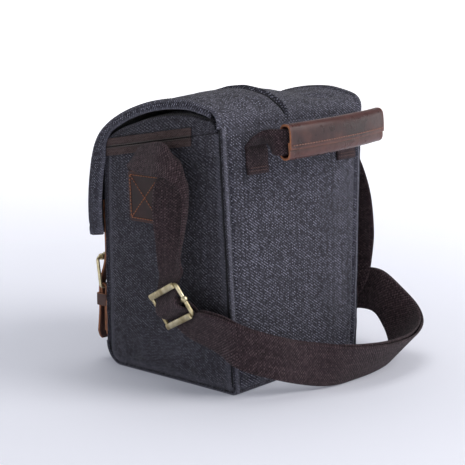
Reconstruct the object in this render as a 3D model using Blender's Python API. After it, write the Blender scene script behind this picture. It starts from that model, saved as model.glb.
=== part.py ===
"""A small canvas camera bag with a buckled flap, a zipped lid, a leather-wrapped handle and a shoulder strap.

Frame: metres, +Z up. The front faces -Y, the back panel faces +Y, and the origin is the centre of the base.
Sizes are written in millimetres and turned into metres where a mesh is made.
"""
import math

import bmesh
import bpy
from mathutils import Vector

MM = 0.001

# Driving dimensions, in millimetres.
BODY_HEIGHT = 220.0
BASE_HALF_WIDTH = 84.0
TOP_HALF_WIDTH = 94.0
BASE_HALF_DEPTH = 75.0
BACK_TOP_Y = 68.7
FRONT_TOP_Y = -66.5
FRONT_HEIGHT = 194.4
BASE_CORNER = 18.0
RIM_BACK_Z = 217.0
CANVAS = 2.0
LINING = 1.2
FOAM = 6.0
GAP = 0.3
BOARD = 2.4
BASE_FOAM = 8.0
ZIP_TAPE = 7.1
ZIP_THICKNESS = 1.0
ZIP_END_Y = 36.0
STRAP_WIDTH = 38.0
WEBBING = 2.0
FLAP_HALF_WIDTH = 97.4
CLOSURE_X = 74.0
BUCKLE_STRAP_WIDTH = 18.0
PRONG_SLOT = 5.0
HANDLE_X = -8.0
HANDLE_LEG = 61.0
HANDLE_WIDTH = 28.0
GRIP_HALF_LENGTH = 64.5
GRIP_BOW_Y = 108.0
GRIP_Z = 211.3
GRIP_TILT = 0.035
DIVIDER_X = 38.0
DIVIDER = 7.0

FOAM_INSET = CANVAS + GAP
LINING_INSET = FOAM_INSET + FOAM + GAP
INNER_INSET = LINING_INSET + LINING
BOARD_Z = CANVAS + GAP
BASE_FOAM_Z = BOARD_Z + BOARD + GAP
LINING_Z = BASE_FOAM_Z + BASE_FOAM + GAP
FLOOR_Z = LINING_Z + LINING

# Flap, lid and closure outlines as (y, z) points of their outer faces, back to front.
FLAP_OUTLINE = [
    (68.7, 220.3), (68.4, 225.5), (65.6, 231.5), (60.0, 235.5), (49.0, 238.5), (32.0, 241.0), (10.0, 240.0),
    (-8.0, 237.0), (-23.0, 232.8), (-37.0, 227.6), (-50.0, 221.2), (-61.0, 214.0), (-69.5, 206.0),
    (-75.0, 197.0), (-78.6, 187.0), (-81.2, 175.0), (-83.4, 160.0), (-84.5, 145.0), (-84.2, 130.0), (-82.4, 117.0),
]
LID_OUTLINE = [
    (62.9, 217.8), (61.4, 222.2), (56.6, 226.4), (48.0, 229.5), (32.0, 231.5), (12.0, 230.5), (-8.0, 227.4),
    (-28.0, 221.6), (-45.0, 214.0), (-56.5, 206.8), (-63.4, 201.4), (-66.2, 197.8), (-66.6, 194.9),
]
CLOSURE_STRAP = [
    (-79.3, 146.0), (-79.2, 135.0), (-78.2, 122.0), (-77.9, 111.0), (-77.8, 102.0), (-78.7, 93.0), (-81.3, 84.5),
    (-84.5, 76.0), (-86.3, 69.0), (-86.7, 61.0), (-86.6, 52.0), (-87.0, 43.0), (-88.0, 33.0), (-89.0, 24.0),
    (-89.3, 18.0),
]
BUCKLE_BAR = (-81.3, 67.5)
ROLLER_BAR = (-85.2, 94.0)
SNAP_Z = 40.0

# Shoulder strap: each station gives the strap's two edges, (x, y, z) and (x, y, z).
RIGHT_DROP = [
    ((92.1, -34, 141), (92.1, 4, 141)), ((92.97, -34, 160), (92.97, 4, 160)), ((93.84, -34, 179), (93.84, 4, 179)),
    ((96.5, -31, 190), (98, 5, 186)), ((100, -21, 199), (105, 9, 187)), ((104, -3, 204), (113, 12, 183)),
    ((107, 14, 201), (119, 15, 175)), ((108, 29, 190), (122, 18, 162)), ((107, 39, 172), (122, 20, 147)),
    ((104.5, 43, 151), (121, 21, 132)), ((102.5, 41, 134), (121, 24, 123)), ((100, 35, 122), (121, 31, 117)),
    ((99.5, 25, 112), (119.5, 38, 111)),
]
LOOP_OUTER = [
    ((98.6, 27.5, 50), (108, 52.3, 70)), ((98.8, 35, 46.5), (109.3, 55, 71)), ((98, 43, 43.5), (110.8, 59.5, 72.4)),
    ((95.5, 52, 40.5), (110.6, 67, 72)), ((92, 65, 35), (105, 79, 69)),
    ((93, 81, 28), (100, 88, 65)), ((84, 94, 22), (89, 98, 59)), ((66, 106, 15), (71, 110, 52)),
    ((45, 112, 8), (50, 116, 45)), ((25, 118, 3), (30, 124, 40)), ((8, 122, 1), (16, 133, 37)),
    ((-14, 124, 1), (-6, 142, 34)), ((-42, 124, 1), (-38, 147, 31)), ((-72, 119, 1), (-76, 144, 30)),
    ((-94, 109, 2), (-108, 132, 34)), ((-109, 97, 10), (-126, 115, 42)), ((-115, 86, 21), (-128, 97, 55)),
    ((-118, 74, 32), (-123, 78, 70)), ((-121, 58, 33), (-122, 58, 71)), ((-124, 40, 29), (-124, 40, 67)),
    ((-125.4, 24, 27), (-125.4, 24, 65)), ((-125.5, 14, 27), (-125.5, 14, 65)),
]
LEFT_DROP = [
    ((-92.1, -34, 141), (-92.1, 4, 141)), ((-92.97, -34, 160), (-92.97, 4, 160)),
    ((-93.84, -34, 179), (-93.84, 4, 179)),
    ((-98, -30, 187), (-99, 7, 189)), ((-106, -20, 190), (-107, 18, 196)), ((-112, -4, 186), (-114, 33, 196)),
    ((-115, 12, 164), (-118, 49, 178)), ((-115, 26, 136), (-118, 63, 148)), ((-113, 34, 107), (-116, 70, 117)),
    ((-108, 34, 79), (-113, 72, 92)), ((-104, 28, 66), (-110, 67, 60)), ((-103, 26, 64.5), (-106, 46, 32)),
    ((-102.4, 22, 65), (-103, 26, 27)), ((-102.5, 14, 65), (-102.5, 14, 27)),
]
STRAP_RING = (-114.0, 14.0, 46.0)
RING_HALF = 8.0
ADJUSTER = Vector((109.5, 27.9, 73.1))
ADJUSTER_BAR = Vector((0.254, 0.865, 0.434)).normalized()
ADJUSTER_RUN = Vector((-0.205, 0.484, -0.8445))
LAYER_STEP = 3.4


def half_width(z):
    """Half of the body's width at height z: the sides lean out a little."""
    return BASE_HALF_WIDTH + (TOP_HALF_WIDTH - BASE_HALF_WIDTH) * z / BODY_HEIGHT


def back_y(z):
    return BASE_HALF_DEPTH + (BACK_TOP_Y - BASE_HALF_DEPTH) * z / BODY_HEIGHT


def front_y(z):
    share = max(z - BASE_CORNER, 0.0) / (FRONT_HEIGHT - BASE_CORNER)
    return -BASE_HALF_DEPTH + (FRONT_TOP_Y + BASE_HALF_DEPTH) * share


def rim_z(y):
    """Height of the zipped rim: it falls from the back seam to the front."""
    slope = (RIM_BACK_Z - FRONT_HEIGHT) / (BACK_TOP_Y - FRONT_TOP_Y)
    return FRONT_HEIGHT + slope * (y - FRONT_TOP_Y)


def clear_scene():
    for item in list(bpy.data.objects):
        bpy.data.objects.remove(item, do_unlink=True)


def make_material(name, colour, roughness, metallic=0.0):
    material = bpy.data.materials.new(name)
    material.use_nodes = True
    shader = material.node_tree.nodes["Principled BSDF"]
    shader.inputs["Base Color"].default_value = (*colour, 1.0)
    shader.inputs["Roughness"].default_value = roughness
    shader.inputs["Metallic"].default_value = metallic
    material.diffuse_color = (*colour, 1.0)
    return material


def add_object(name, mesh_data, material, smooth_angle=None):
    """Turn a bmesh in millimetres into an object in metres."""
    for vertex in mesh_data.verts:
        vertex.co *= MM
    bmesh.ops.recalc_face_normals(mesh_data, faces=mesh_data.faces)
    mesh = bpy.data.meshes.new(name)
    mesh_data.to_mesh(mesh)
    mesh_data.free()
    mesh.materials.append(material)
    if smooth_angle is not None:
        mesh.shade_smooth()
        mesh.set_sharp_from_angle(angle=math.radians(smooth_angle))
    result = bpy.data.objects.new(name, mesh)
    bpy.context.scene.collection.objects.link(result)
    return result


def set_origin(item, point):
    """Move an object's origin to a point in millimetres, and leave its shape where it is."""
    offset = Vector(point) * MM
    for vertex in item.data.vertices:
        vertex.co -= offset
    item.location = offset
    return item


def catmull(values, steps):
    """A smooth curve through vectors, with a number of steps between each two."""
    result = []
    last = len(values) - 1
    for index in range(last):
        before = values[max(index - 1, 0)]
        start = values[index]
        end = values[index + 1]
        after = values[min(index + 2, last)]
        for step in range(steps):
            t = step / steps
            point = 2 * start + (end - before) * t
            point += (2 * before - 5 * start + 4 * end - after) * t ** 2
            point += (3 * start - before - 3 * end + after) * t ** 3
            result.append(point * 0.5)
    result.append(values[last])
    return result


def smooth_outline(points, steps):
    return [(v.x, v.y) for v in catmull([Vector((y, z)) for y, z in points], steps)]


def offset_outline(points, distance):
    """Shift a (y, z) outline to its right-hand side by a distance, which may differ from point to point."""
    result = []
    for index, (y, z) in enumerate(points):
        before = points[max(index - 1, 0)]
        after = points[min(index + 1, len(points) - 1)]
        along = Vector((after[0] - before[0], after[1] - before[1])).normalized()
        shift = distance[index] if isinstance(distance, list) else distance
        result.append((y - along.y * shift, z + along.x * shift))
    return result


def band_mesh(edges, thickness, slot=None, across=1):
    """A closed strip with its two edges at each station; slot is (first, last, share of the width) left open."""
    mesh = bmesh.new()
    shares = [step / across for step in range(across + 1)]
    if slot:
        shares = [0.0, 0.5 - slot[2] / 2, 0.5 + slot[2] / 2, 1.0]
    rows = {}
    count = len(edges)
    for index, (left, right) in enumerate(edges):
        before = edges[max(index - 1, 0)]
        after = edges[min(index + 1, count - 1)]
        along = (after[0] + after[1]) - (before[0] + before[1])
        normal = along.cross(right - left).normalized() * (thickness / 2)
        for column, share in enumerate(shares):
            centre = left.lerp(right, share)
            for side in (1, -1):
                rows[index, column, side] = mesh.verts.new(centre + normal * side)
    columns = len(shares) - 1

    def filled(row, column):
        inside = 0 <= row < count - 1 and 0 <= column < columns
        is_open = slot is not None and column == 1 and slot[0] <= row < slot[1]
        return inside and not is_open

    for row in range(count - 1):
        for column in range(columns):
            if not filled(row, column):
                continue
            corners = [(row, column), (row + 1, column), (row + 1, column + 1), (row, column + 1)]
            mesh.faces.new([rows[r, c, 1] for r, c in corners])
            mesh.faces.new([rows[r, c, -1] for r, c in reversed(corners)])
            neighbours = [(row, column - 1), (row + 1, column), (row, column + 1), (row - 1, column)]
            for side, neighbour in enumerate(neighbours):
                if filled(*neighbour):
                    continue
                a = corners[side]
                b = corners[(side + 1) % 4]
                mesh.faces.new([rows[(*a, -1)], rows[(*b, -1)], rows[(*b, 1)], rows[(*a, 1)]])
    loose = [vertex for vertex in mesh.verts if not vertex.link_faces]
    for vertex in loose:
        mesh.verts.remove(vertex)
    return mesh


def band(name, edges, thickness, material, steps=1, across=1):
    """A flat strip through stations of (left edge, right edge), cut into columns across."""
    lefts = catmull([Vector(left) for left, _ in edges], steps)
    rights = catmull([Vector(right) for _, right in edges], steps)
    return add_object(name, band_mesh(list(zip(lefts, rights)), thickness, across=across), material, 40)


def outline_band(name, outline, half, thickness, material, centre_x=0.0, slot=None):
    """A strip that spans X and follows a (y, z) outline of its middle; half is a number or a function of z."""
    edges = []
    for index, (y, z) in enumerate(outline):
        reach = half(index, z) if callable(half) else half
        edges.append((Vector((centre_x - reach, y, z)), Vector((centre_x + reach, y, z))))
    return add_object(name, band_mesh(edges, thickness, slot), material, 40)


def side_slab(name, outline, inset, thickness, side, material, follow=half_width):
    """A flat slab whose (y, z) outline stands on one side of the body, inset from its outer face."""
    mesh = bmesh.new()
    faces = []
    for depth in (inset, inset + thickness):
        ring = [mesh.verts.new((side * (follow(z) - depth), y, z)) for y, z in outline]
        faces.append(ring)
    mesh.faces.new(faces[0])
    mesh.faces.new(list(reversed(faces[1])))
    count = len(outline)
    for index in range(count):
        after = (index + 1) % count
        mesh.faces.new([faces[0][index], faces[0][after], faces[1][after], faces[1][index]])
    return add_object(name, mesh, material)


def hexahedron(name, bottom, top, material):
    """A six-sided block from its four bottom and four top corners."""
    mesh = bmesh.new()
    low = [mesh.verts.new(corner) for corner in bottom]
    high = [mesh.verts.new(corner) for corner in top]
    mesh.faces.new(list(reversed(low)))
    mesh.faces.new(high)
    for index in range(4):
        after = (index + 1) % 4
        mesh.faces.new([low[index], low[after], high[after], high[index]])
    return add_object(name, mesh, material)


def disc(name, centre, axis, radius, length, material, sides=20):
    """A short cylinder between two points along an axis."""
    mesh = bmesh.new()
    bmesh.ops.create_cone(mesh, cap_ends=True, segments=sides, radius1=radius, radius2=radius, depth=length)
    turn = Vector((0, 0, 1)).rotation_difference(Vector(axis)).to_matrix()
    for vertex in mesh.verts:
        vertex.co = turn @ vertex.co + Vector(centre)
    return add_object(name, mesh, material, 40)


def rod_mesh(mesh, points, radius, closed, sides=10):
    """Sweep a circle along points; a closed path makes a ring."""
    count = len(points)
    rings = []
    guide = None
    for index, point in enumerate(points):
        before = points[(index - 1) % count] if closed or index else point
        after = points[(index + 1) % count] if closed or index < count - 1 else point
        along = (after - before).normalized()
        if guide is None:
            guide = along.orthogonal().normalized()
        guide = (guide - along * guide.dot(along)).normalized()
        across = along.cross(guide)
        ring = []
        for step in range(sides):
            angle = 2 * math.pi * step / sides
            ring.append(mesh.verts.new(point + (guide * math.cos(angle) + across * math.sin(angle)) * radius))
        rings.append(ring)
    spans = count if closed else count - 1
    for index in range(spans):
        here = rings[index]
        there = rings[(index + 1) % count]
        shift = 0
        if closed and index == count - 1:
            shift = min(range(sides), key=lambda s: (here[0].co - there[s].co).length)
        for step in range(sides):
            after = (step + 1) % sides
            quad = [here[step], here[after], there[(after + shift) % sides], there[(step + shift) % sides]]
            mesh.faces.new(quad)
    if not closed:
        mesh.faces.new(list(reversed(rings[0])))
        mesh.faces.new(rings[-1])


def rod(name, points, radius, material, closed=False, sides=10):
    mesh = bmesh.new()
    rod_mesh(mesh, [Vector(p) for p in points], radius, closed, sides)
    return add_object(name, mesh, material, 50)


def rounded_loop(centre, first_axis, second_axis, first_half, second_half, corner, steps=4):
    """Points of a rounded rectangle in the plane of two axes."""
    points = []
    for quarter in range(4):
        sign_a = 1 if quarter in (0, 3) else -1
        sign_b = 1 if quarter in (0, 1) else -1
        for step in range(steps + 1):
            angle = math.radians(90 * quarter + 90 * step / steps)
            a = sign_a * (first_half - corner) + corner * math.cos(angle)
            b = sign_b * (second_half - corner) + corner * math.sin(angle)
            points.append(centre + first_axis * a + second_axis * b)
    return points


def tube_ring(name, outer, inner, material):
    """A ring-shaped wall between an outer and an inner set of loops, each a list of equal-length rows."""
    mesh = bmesh.new()
    outer_rows = [[mesh.verts.new(p) for p in row] for row in outer]
    inner_rows = [[mesh.verts.new(p) for p in row] for row in inner]
    count = len(outer_rows[0])
    for rows in (outer_rows, inner_rows):
        for here, there in zip(rows, rows[1:]):
            for index in range(count):
                after = (index + 1) % count
                mesh.faces.new([here[index], here[after], there[after], there[index]])
    for end in (0, -1):
        for index in range(count):
            after = (index + 1) % count
            quad = [outer_rows[end][index], outer_rows[end][after], inner_rows[end][after], inner_rows[end][index]]
            mesh.faces.new(quad)
    return add_object(name, mesh, material, 50)


def front_corner(inset, steps=5):
    """The rounded lower front edge, from the base up to the front face."""
    radius = BASE_CORNER - inset
    centre_y = -BASE_HALF_DEPTH + BASE_CORNER
    points = []
    for step in range(steps + 1):
        angle = math.radians(90 * step / steps)
        points.append((centre_y - radius * math.sin(angle), BASE_CORNER - radius * math.cos(angle)))
    return points


def body_outline(inset, bottom, top_gap, corner=True):
    """Closed (y, z) outline of the body seen from the side, inset from its faces and cut at the rim."""
    back_top = rim_z(back_y(RIM_BACK_Z) - inset) - top_gap
    front_top = rim_z(FRONT_TOP_Y + inset) - top_gap
    outline = [(back_y(back_top) - inset, back_top), (back_y(bottom) - inset, bottom)]
    if corner:
        outline += front_corner(inset)
    else:
        outline.append((front_y(bottom) + inset, bottom))
    outline.append((front_y(front_top) + inset, front_top))
    return outline


def make_body(canvas, leather):
    """The canvas shell: back, front and base panels, and a gusset on each side."""
    def reach(_, z):
        return half_width(z)

    def front_reach(_, z):
        return half_width(z) - GAP

    middle = CANVAS / 2
    back = [(back_y(z) - middle, z) for z in (BODY_HEIGHT, 150.0, 80.0, CANVAS + GAP)]
    outline_band("back_panel", back, reach, CANVAS, canvas)
    front = [(front_y(z) + middle, z) for z in (FRONT_HEIGHT - 0.4, 130.0, 70.0, BASE_CORNER + 1.0)]
    outline_band("front_panel", front, front_reach, CANVAS, canvas)
    base = [(BASE_HALF_DEPTH, middle), (0.0, middle)]
    base += front_corner(middle)
    outline_band("base_panel", base, reach, CANVAS, canvas)
    for side, label in ((1, "right"), (-1, "left")):
        side_slab("gusset_" + label, body_outline(FOAM_INSET, BOARD_Z, 0.3), 0.0, CANVAS, side, canvas)
        patch = [(-34.0, 135.5), (4.0, 135.5), (4.0, 177.5), (-34.0, 177.5)]
        side_slab("strap_patch_" + label, patch, -5.0, 1.8, side, leather)
        make_front_patch(label, side, leather)


def make_front_patch(label, side, leather):
    """The leather reinforcement on the front that carries a snap socket."""
    edges = []
    for z in (24.0, 58.0):
        y = front_y(z) - GAP - 0.75
        edges.append(((side * CLOSURE_X - 12.0, y, z), (side * CLOSURE_X + 12.0, y, z)))
    band("front_patch_" + label, edges, 1.5, leather)


def make_padding(foam, board, lining):
    """Foam between the canvas and the lining, and the stiff board in the base."""
    def reach(_, z):
        return half_width(z) - FOAM_INSET - GAP

    middle = FOAM_INSET + FOAM / 2
    back = [(back_y(z) - middle, z) for z in (RIM_BACK_Z - 3.0, LINING_Z)]
    outline_band("padding_back", back, reach, FOAM, foam)
    front = [(front_y(z) + middle, z) for z in (FRONT_HEIGHT - 2.5, BASE_CORNER + 1.5)]
    outline_band("padding_front", front, reach, FOAM, foam)
    inner = body_outline(LINING_INSET + GAP, LINING_Z, 3.0, corner=False)
    for side, label in ((1, "right"), (-1, "left")):
        side_slab("padding_" + label, inner, FOAM_INSET, FOAM, side, foam)
    base_block("base_board", BOARD_Z, BOARD, -56.5, 70.0, board)
    base_block("padding_base", BASE_FOAM_Z, BASE_FOAM, -64.5, 71.5, foam)
    make_lining(lining)


def base_block(name, low, height, front, back, material):
    corners = []
    for z in (low, low + height):
        x = half_width(low) - FOAM_INSET - 2 * GAP
        corners.append([(-x, front, z), (x, front, z), (x, back, z), (-x, back, z)])
    hexahedron(name, corners[0], corners[1], material)


def make_lining(lining):
    """The inner bag: one open box with thin walls."""
    mesh = bmesh.new()
    rows = []
    for inset, bottom in ((LINING_INSET, LINING_Z), (INNER_INSET, FLOOR_Z)):
        for level in ("bottom", "top"):
            row = []
            for side_x, side_y in ((-1, -1), (1, -1), (1, 1), (-1, 1)):
                z = bottom
                if level == "top":
                    z = rim_z(side_y * 60.0) - 2.0
                y = back_y(z) - inset if side_y > 0 else front_y(z) + inset
                row.append(mesh.verts.new((side_x * (half_width(z) - inset), y, z)))
            rows.append(row)
    outer_low, outer_high, inner_low, inner_high = rows
    mesh.faces.new(list(reversed(outer_low)))
    mesh.faces.new(inner_low)
    for index in range(4):
        after = (index + 1) % 4
        mesh.faces.new([outer_low[index], outer_low[after], outer_high[after], outer_high[index]])
        mesh.faces.new([inner_low[after], inner_low[index], inner_high[index], inner_high[after]])
        mesh.faces.new([outer_high[index], outer_high[after], inner_high[after], inner_high[index]])
    bmesh.ops.triangulate(mesh, faces=mesh.faces)
    add_object("lining", mesh, lining)


def make_dividers(foam_cloth):
    """Two padded dividers that slide sideways between the front and back of the lining."""
    for side, label in ((1, "right"), (-1, "left")):
        corners = []
        for z in (FLOOR_Z + 0.8, 150.0):
            back = back_y(z) - INNER_INSET - 0.6
            front = front_y(z) + INNER_INSET + 0.6
            low, high = side * DIVIDER_X - DIVIDER / 2, side * DIVIDER_X + DIVIDER / 2
            corners.append([(low, front, z), (high, front, z), (high, back, z), (low, back, z)])
        item = hexahedron("divider_" + label, corners[0], corners[1], foam_cloth)
        set_origin(item, (side * DIVIDER_X, 0.0, FLOOR_Z))


def zip_path(low, high):
    """Edges of a zip tape round three sides of the rim: low and high are heights above the rim line."""
    offset = ZIP_THICKNESS / 2 + GAP
    corner = 1.5
    front = FRONT_TOP_Y - offset - 0.3
    plan = [(0.0, ZIP_END_Y), (0.0, 0.0), (0.0, front + corner)]
    for step in range(1, 4):
        angle = math.radians(30 * step)
        plan.append((corner * (1 - math.cos(angle)), front + corner * (1 - math.sin(angle))))
    edges = []
    for side in (1, -1):
        for inward, y in plan if side > 0 else reversed(plan):
            pair = []
            for height in (low, high):
                z = rim_z(max(y, FRONT_TOP_Y)) + height
                pair.append((side * (half_width(min(z, 205.0)) + offset - inward), y, z))
            edges.append(tuple(pair))
    return edges


def make_zip(tape, metal):
    """Zip tapes below and above the rim, the slider on the left side and its pull."""
    band("zip_tape_lower", zip_path(-ZIP_TAPE - 0.25, -0.25), ZIP_THICKNESS, tape)
    band("zip_tape_upper", zip_path(0.25, ZIP_TAPE + 0.25), ZIP_THICKNESS, tape)
    x = -half_width(205.0) - ZIP_THICKNESS - 3 * GAP
    z = rim_z(26.0)
    slider = rod_box("zip_slider", (x - 1.3, 26.0, z), (1.3, 6.0, 4.2), metal)
    set_origin(slider, (x - 1.3, 26.0, z))
    out = x - 3.7
    pull = []
    for y, half in ((22.0, 2.6), (30.0, 3.4), (39.0, 3.0), (41.0, 1.6)):
        pull.append(((out, y, z - half), (out, y, z + half)))
    item = band("zip_pull", pull, 1.2, metal)
    set_origin(item, (out, 22.0, z))


def rod_box(name, centre, half, material):
    """A box with its edges bevelled."""
    mesh = bmesh.new()
    bmesh.ops.create_cube(mesh, size=2.0)
    for vertex in mesh.verts:
        vertex.co = Vector([vertex.co[i] * half[i] + centre[i] for i in range(3)])
    item = add_object(name, mesh, material)
    bevel = item.modifiers.new("soft_edges", "BEVEL")
    bevel.width = 0.8 * MM
    bevel.segments = 2
    return item


def make_lid(canvas, foam):
    """The zipped lid under the flap: a domed top, two side walls and its padding."""
    def lid_half(_z=0.0):
        return 93.0

    outer = smooth_outline(LID_OUTLINE, 2)
    outline_band("lid_top", offset_outline(outer, CANVAS / 2), lid_half(), CANVAS, canvas)
    inside = offset_outline(outer, CANVAS + GAP)
    lower = [(y, max(z, rim_z(y) + 0.5)) for y, z in inside[1:-1]]
    front_y_low = lower[-1][0]
    outline = lower + [(front_y_low, rim_z(front_y_low) + 0.3), (lower[0][0], rim_z(lower[0][0]) + 0.3)]
    for side, label in ((1, "right"), (-1, "left")):
        side_slab("lid_side_" + label, outline, 0.0, CANVAS, side, canvas, follow=lid_half)
    pad = offset_outline(outer, CANVAS + GAP + 2.0)[3:-5]
    outline_band("lid_padding", pad, lid_half() - CANVAS - 1.0, 4.0, foam)


def make_flap(canvas, lining):
    """The flap: outer canvas, lining, and a narrow band that turns down along each side."""
    outer = smooth_outline(FLAP_OUTLINE, 2)
    outline_band("flap_panel", offset_outline(outer, CANVAS / 2), FLAP_HALF_WIDTH, CANVAS, canvas)
    inner = offset_outline(outer, CANVAS + GAP + 0.5)
    outline_band("flap_lining", inner[:-1], FLAP_HALF_WIDTH - CANVAS - GAP, 1.0, lining)
    shape = outer[2:]
    widths = []
    for y, z in shape:
        drop = min(max((215.0 - z) / 25.0, 0.0), 1.0)
        widths.append(7.0 + 6.0 * drop)
    near = offset_outline(shape, CANVAS + GAP)
    far = offset_outline(shape, [CANVAS + GAP + w for w in widths])
    for side, label in ((1, "right"), (-1, "left")):
        edges = []
        x = side * (FLAP_HALF_WIDTH - CANVAS / 2)
        for (y0, z0), (y1, z1) in zip(near, far):
            edges.append(((x, y0, z0), (x, y1, z1)))
        band("flap_band_" + label, edges, CANVAS, canvas)


def make_closures(leather, brass):
    """Buckled straps that hang from the flap and hold it shut with a snap behind each of them."""
    for side, label in ((1, "right"), (-1, "left")):
        x = side * CLOSURE_X
        make_flap_strap("flap_strap_" + label, x, leather)
        make_base_strap("snap_strap_" + label, x, leather)
        make_keeper("keeper_" + label, x, leather)
        make_buckle(label, x, brass)
        disc("snap_stud_" + label, (x, -78.1, SNAP_Z), (0, 1, 0), 7.0, 1.1, brass)
        disc("snap_socket_" + label, (x, -76.8, SNAP_Z), (0, 1, 0), 7.0, 0.9, brass)


def make_flap_strap(name, x, leather):
    outline = smooth_outline(CLOSURE_STRAP, 2)
    full = BUCKLE_STRAP_WIDTH / 2
    slot_rows = [index for index, (_, z) in enumerate(outline) if 64.0 < z < 90.0]

    def reach(_, z):
        tip = min(max((z - 18.0) / 8.0, 0.0), 1.0)
        return full * (0.45 + 0.55 * math.sqrt(tip))

    slot = (slot_rows[0], slot_rows[-1] + 1, PRONG_SLOT / BUCKLE_STRAP_WIDTH)
    outline_band(name, outline, reach, 2.0, leather, centre_x=x, slot=slot)


def make_base_strap(name, x, leather):
    """The short strap that folds over the buckle's bar and carries the snap stud."""
    y, z = BUCKLE_BAR
    radius = 2.7
    outline = [(-79.8, 28.0), (-79.8, 44.0), (-79.6, 54.0), (-79.1, 61.0)]
    turn = []
    for step in range(7):
        angle = math.radians(30 * step)
        turn.append((y + radius * math.cos(angle), z + radius * math.sin(angle)))
    outline += turn + [(-84.1, 62.0), (-83.9, 56.0)]
    slot = (3, 4 + len(turn), PRONG_SLOT / BUCKLE_STRAP_WIDTH)
    outline_band(name, outline, BUCKLE_STRAP_WIDTH / 2, 1.6, leather, centre_x=x, slot=slot)


def make_keeper(name, x, leather):
    loops = []
    for grow in (1.3, 0.0):
        rows = []
        for z in (50.5, 61.0):
            centre = Vector((x, -82.8, z))
            rows.append(rounded_loop(centre, Vector((1, 0, 0)), Vector((0, 1, 0)), 9.8 + grow, 5.4 + grow, 1.0 + grow, 2))
        loops.append(rows)
    tube_ring(name, loops[0], loops[1], leather)


def make_buckle(label, x, brass):
    """A roller buckle: frame, roller on its outer bar and prong on its inner bar."""
    low, high = Vector((x, *BUCKLE_BAR)), Vector((x, *ROLLER_BAR))
    up = (high - low).normalized()
    half = (high - low).length / 2
    loop = rounded_loop((low + high) / 2, Vector((1, 0, 0)), up, 12.2, half, 3.0, 3)
    rod("buckle_frame_" + label, loop, 1.5, brass, closed=True, sides=8)
    loops = []
    for radius in (2.9, 1.9):
        rows = []
        for reach in (-8.5, 8.5):
            centre = high + Vector((reach, 0, 0))
            rows.append([centre + Vector((0, math.cos(a), math.sin(a))) * radius
                         for a in [2 * math.pi * s / 16 for s in range(16)]])
        loops.append(rows)
    roller = tube_ring("buckle_roller_" + label, loops[0], loops[1], brass)
    set_origin(roller, high)
    make_prong("buckle_prong_" + label, low, brass)


def make_prong(name, pivot, brass):
    """The prong's eye is an open hook round the bar, and its tip rests on the roller."""
    points = []
    for step in range(8):
        angle = math.radians(-115 + 38 * step)
        points.append(pivot + Vector((0, math.cos(angle), math.sin(angle))) * 2.75)
    for y, z in ((-85.0, 72.0), (-86.7, 79.0), (-88.4, 87.0), (-89.5, 93.0), (-89.3, 96.5)):
        points.append(Vector((pivot.x, y, z)))
    item = rod(name, points, 0.95, brass, sides=8)
    set_origin(item, pivot)


def make_handle(webbing, leather):
    """The top handle: two sewn tabs on the back panel, webbing and a folded leather grip."""
    pivot_y, pivot_z = 71.5, 205.0
    for side, label in ((1, "right"), (-1, "left")):
        x = HANDLE_X + side * HANDLE_LEG
        edges = []
        for z in (179.0, 203.2):
            y = back_y(z) + GAP + 1.0
            edges.append(((x - HANDLE_WIDTH / 2, y, z), (x + HANDLE_WIDTH / 2, y, z)))
        band("handle_tab_" + label, edges, WEBBING, webbing)
    edges = handle_edges(pivot_y, pivot_z)
    item = band("handle_webbing", edges, WEBBING, webbing, steps=3)
    set_origin(item, (HANDLE_X, pivot_y, pivot_z))
    grip = make_grip(leather)
    set_origin(grip, (HANDLE_X, pivot_y, pivot_z))


def handle_edges(pivot_y, pivot_z):
    """Edges of the webbing from the right leg, through the grip, to the left leg."""
    half = HANDLE_WIDTH / 2
    leg = HANDLE_LEG
    right = [
        ((leg + half, pivot_y, pivot_z), (leg - half, pivot_y, pivot_z)),
        ((leg + 14.5, 76.0, 209.5), (leg - 11.5, 76.0, 207.0)),
        ((leg + 14, 81.5, 214.5), (leg - 7, 81.5, 204.5)),
        ((leg + 12, 87, 218.5), (leg - 1, 87, 202.0)),
        ((leg + 9.5, 92.3, 220.5), (leg + 5, 92.3, 201.0)),
        ((leg + 8, 97.5, 221.3), (leg + 7.5, 97.5, 201.3)),
        ((leg + 5.5, 101.3, 221.3), (leg + 5.5, 101.3, 201.3)),
        ((leg - 1, 103.8, 221.3), (leg - 1, 103.8, 201.3)),
        ((leg - 18, 106.0, 221.3), (leg - 18, 106.0, 201.3)),
        ((leg - 40, 107.5, 221.3), (leg - 40, 107.5, 201.3)),
    ]
    middle = [((0, GRIP_BOW_Y, 221.3), (0, GRIP_BOW_Y, 201.3))]
    left = []
    for first, second in reversed(right):
        left.append(((-first[0], first[1], first[2]), (-second[0], second[1], second[2])))
    return [(tilted(first), tilted(second)) for first, second in right + middle + left]


def tilted(point):
    """Move a point of the handle to its place on the bag, with the grip's left end a little higher."""
    x, y, z = point
    share = min(max((y - 75.0) / 22.0, 0.0), 1.0)
    return (x + HANDLE_X, y, z - GRIP_TILT * x * share)


def grip_y(x):
    """The grip bows away from the back panel: y of its middle, for x from the handle's centre."""
    return GRIP_BOW_Y - 4.8 * (x / 64.0) ** 2


def make_grip(leather):
    loops = []
    for grow in (2.0, 0.0):
        rows = []
        for step in range(15):
            x = GRIP_HALF_LENGTH * (1.0 - step / 7)
            slope = 2 * 4.8 * x / 64.0 ** 2
            across = Vector((slope, 1.0, 0.0)).normalized()
            centre = Vector((HANDLE_X + x, grip_y(x), GRIP_Z - GRIP_TILT * x))
            rows.append(rounded_loop(centre, across, Vector((0, 0, 1)), 3.4 + grow, 10.5 + grow, 2.4 + grow / 2, 3))
        loops.append(rows)
    return tube_ring("handle_grip", loops[0], loops[1], leather)


def adjuster_point(across, run, out):
    """A point in the strap adjuster's own axes: along its bars, along the strap and out of its face."""
    return ADJUSTER + ADJUSTER_BAR * across + ADJUSTER_RUN * run + ADJUSTER_RUN.cross(ADJUSTER_BAR) * out


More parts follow.
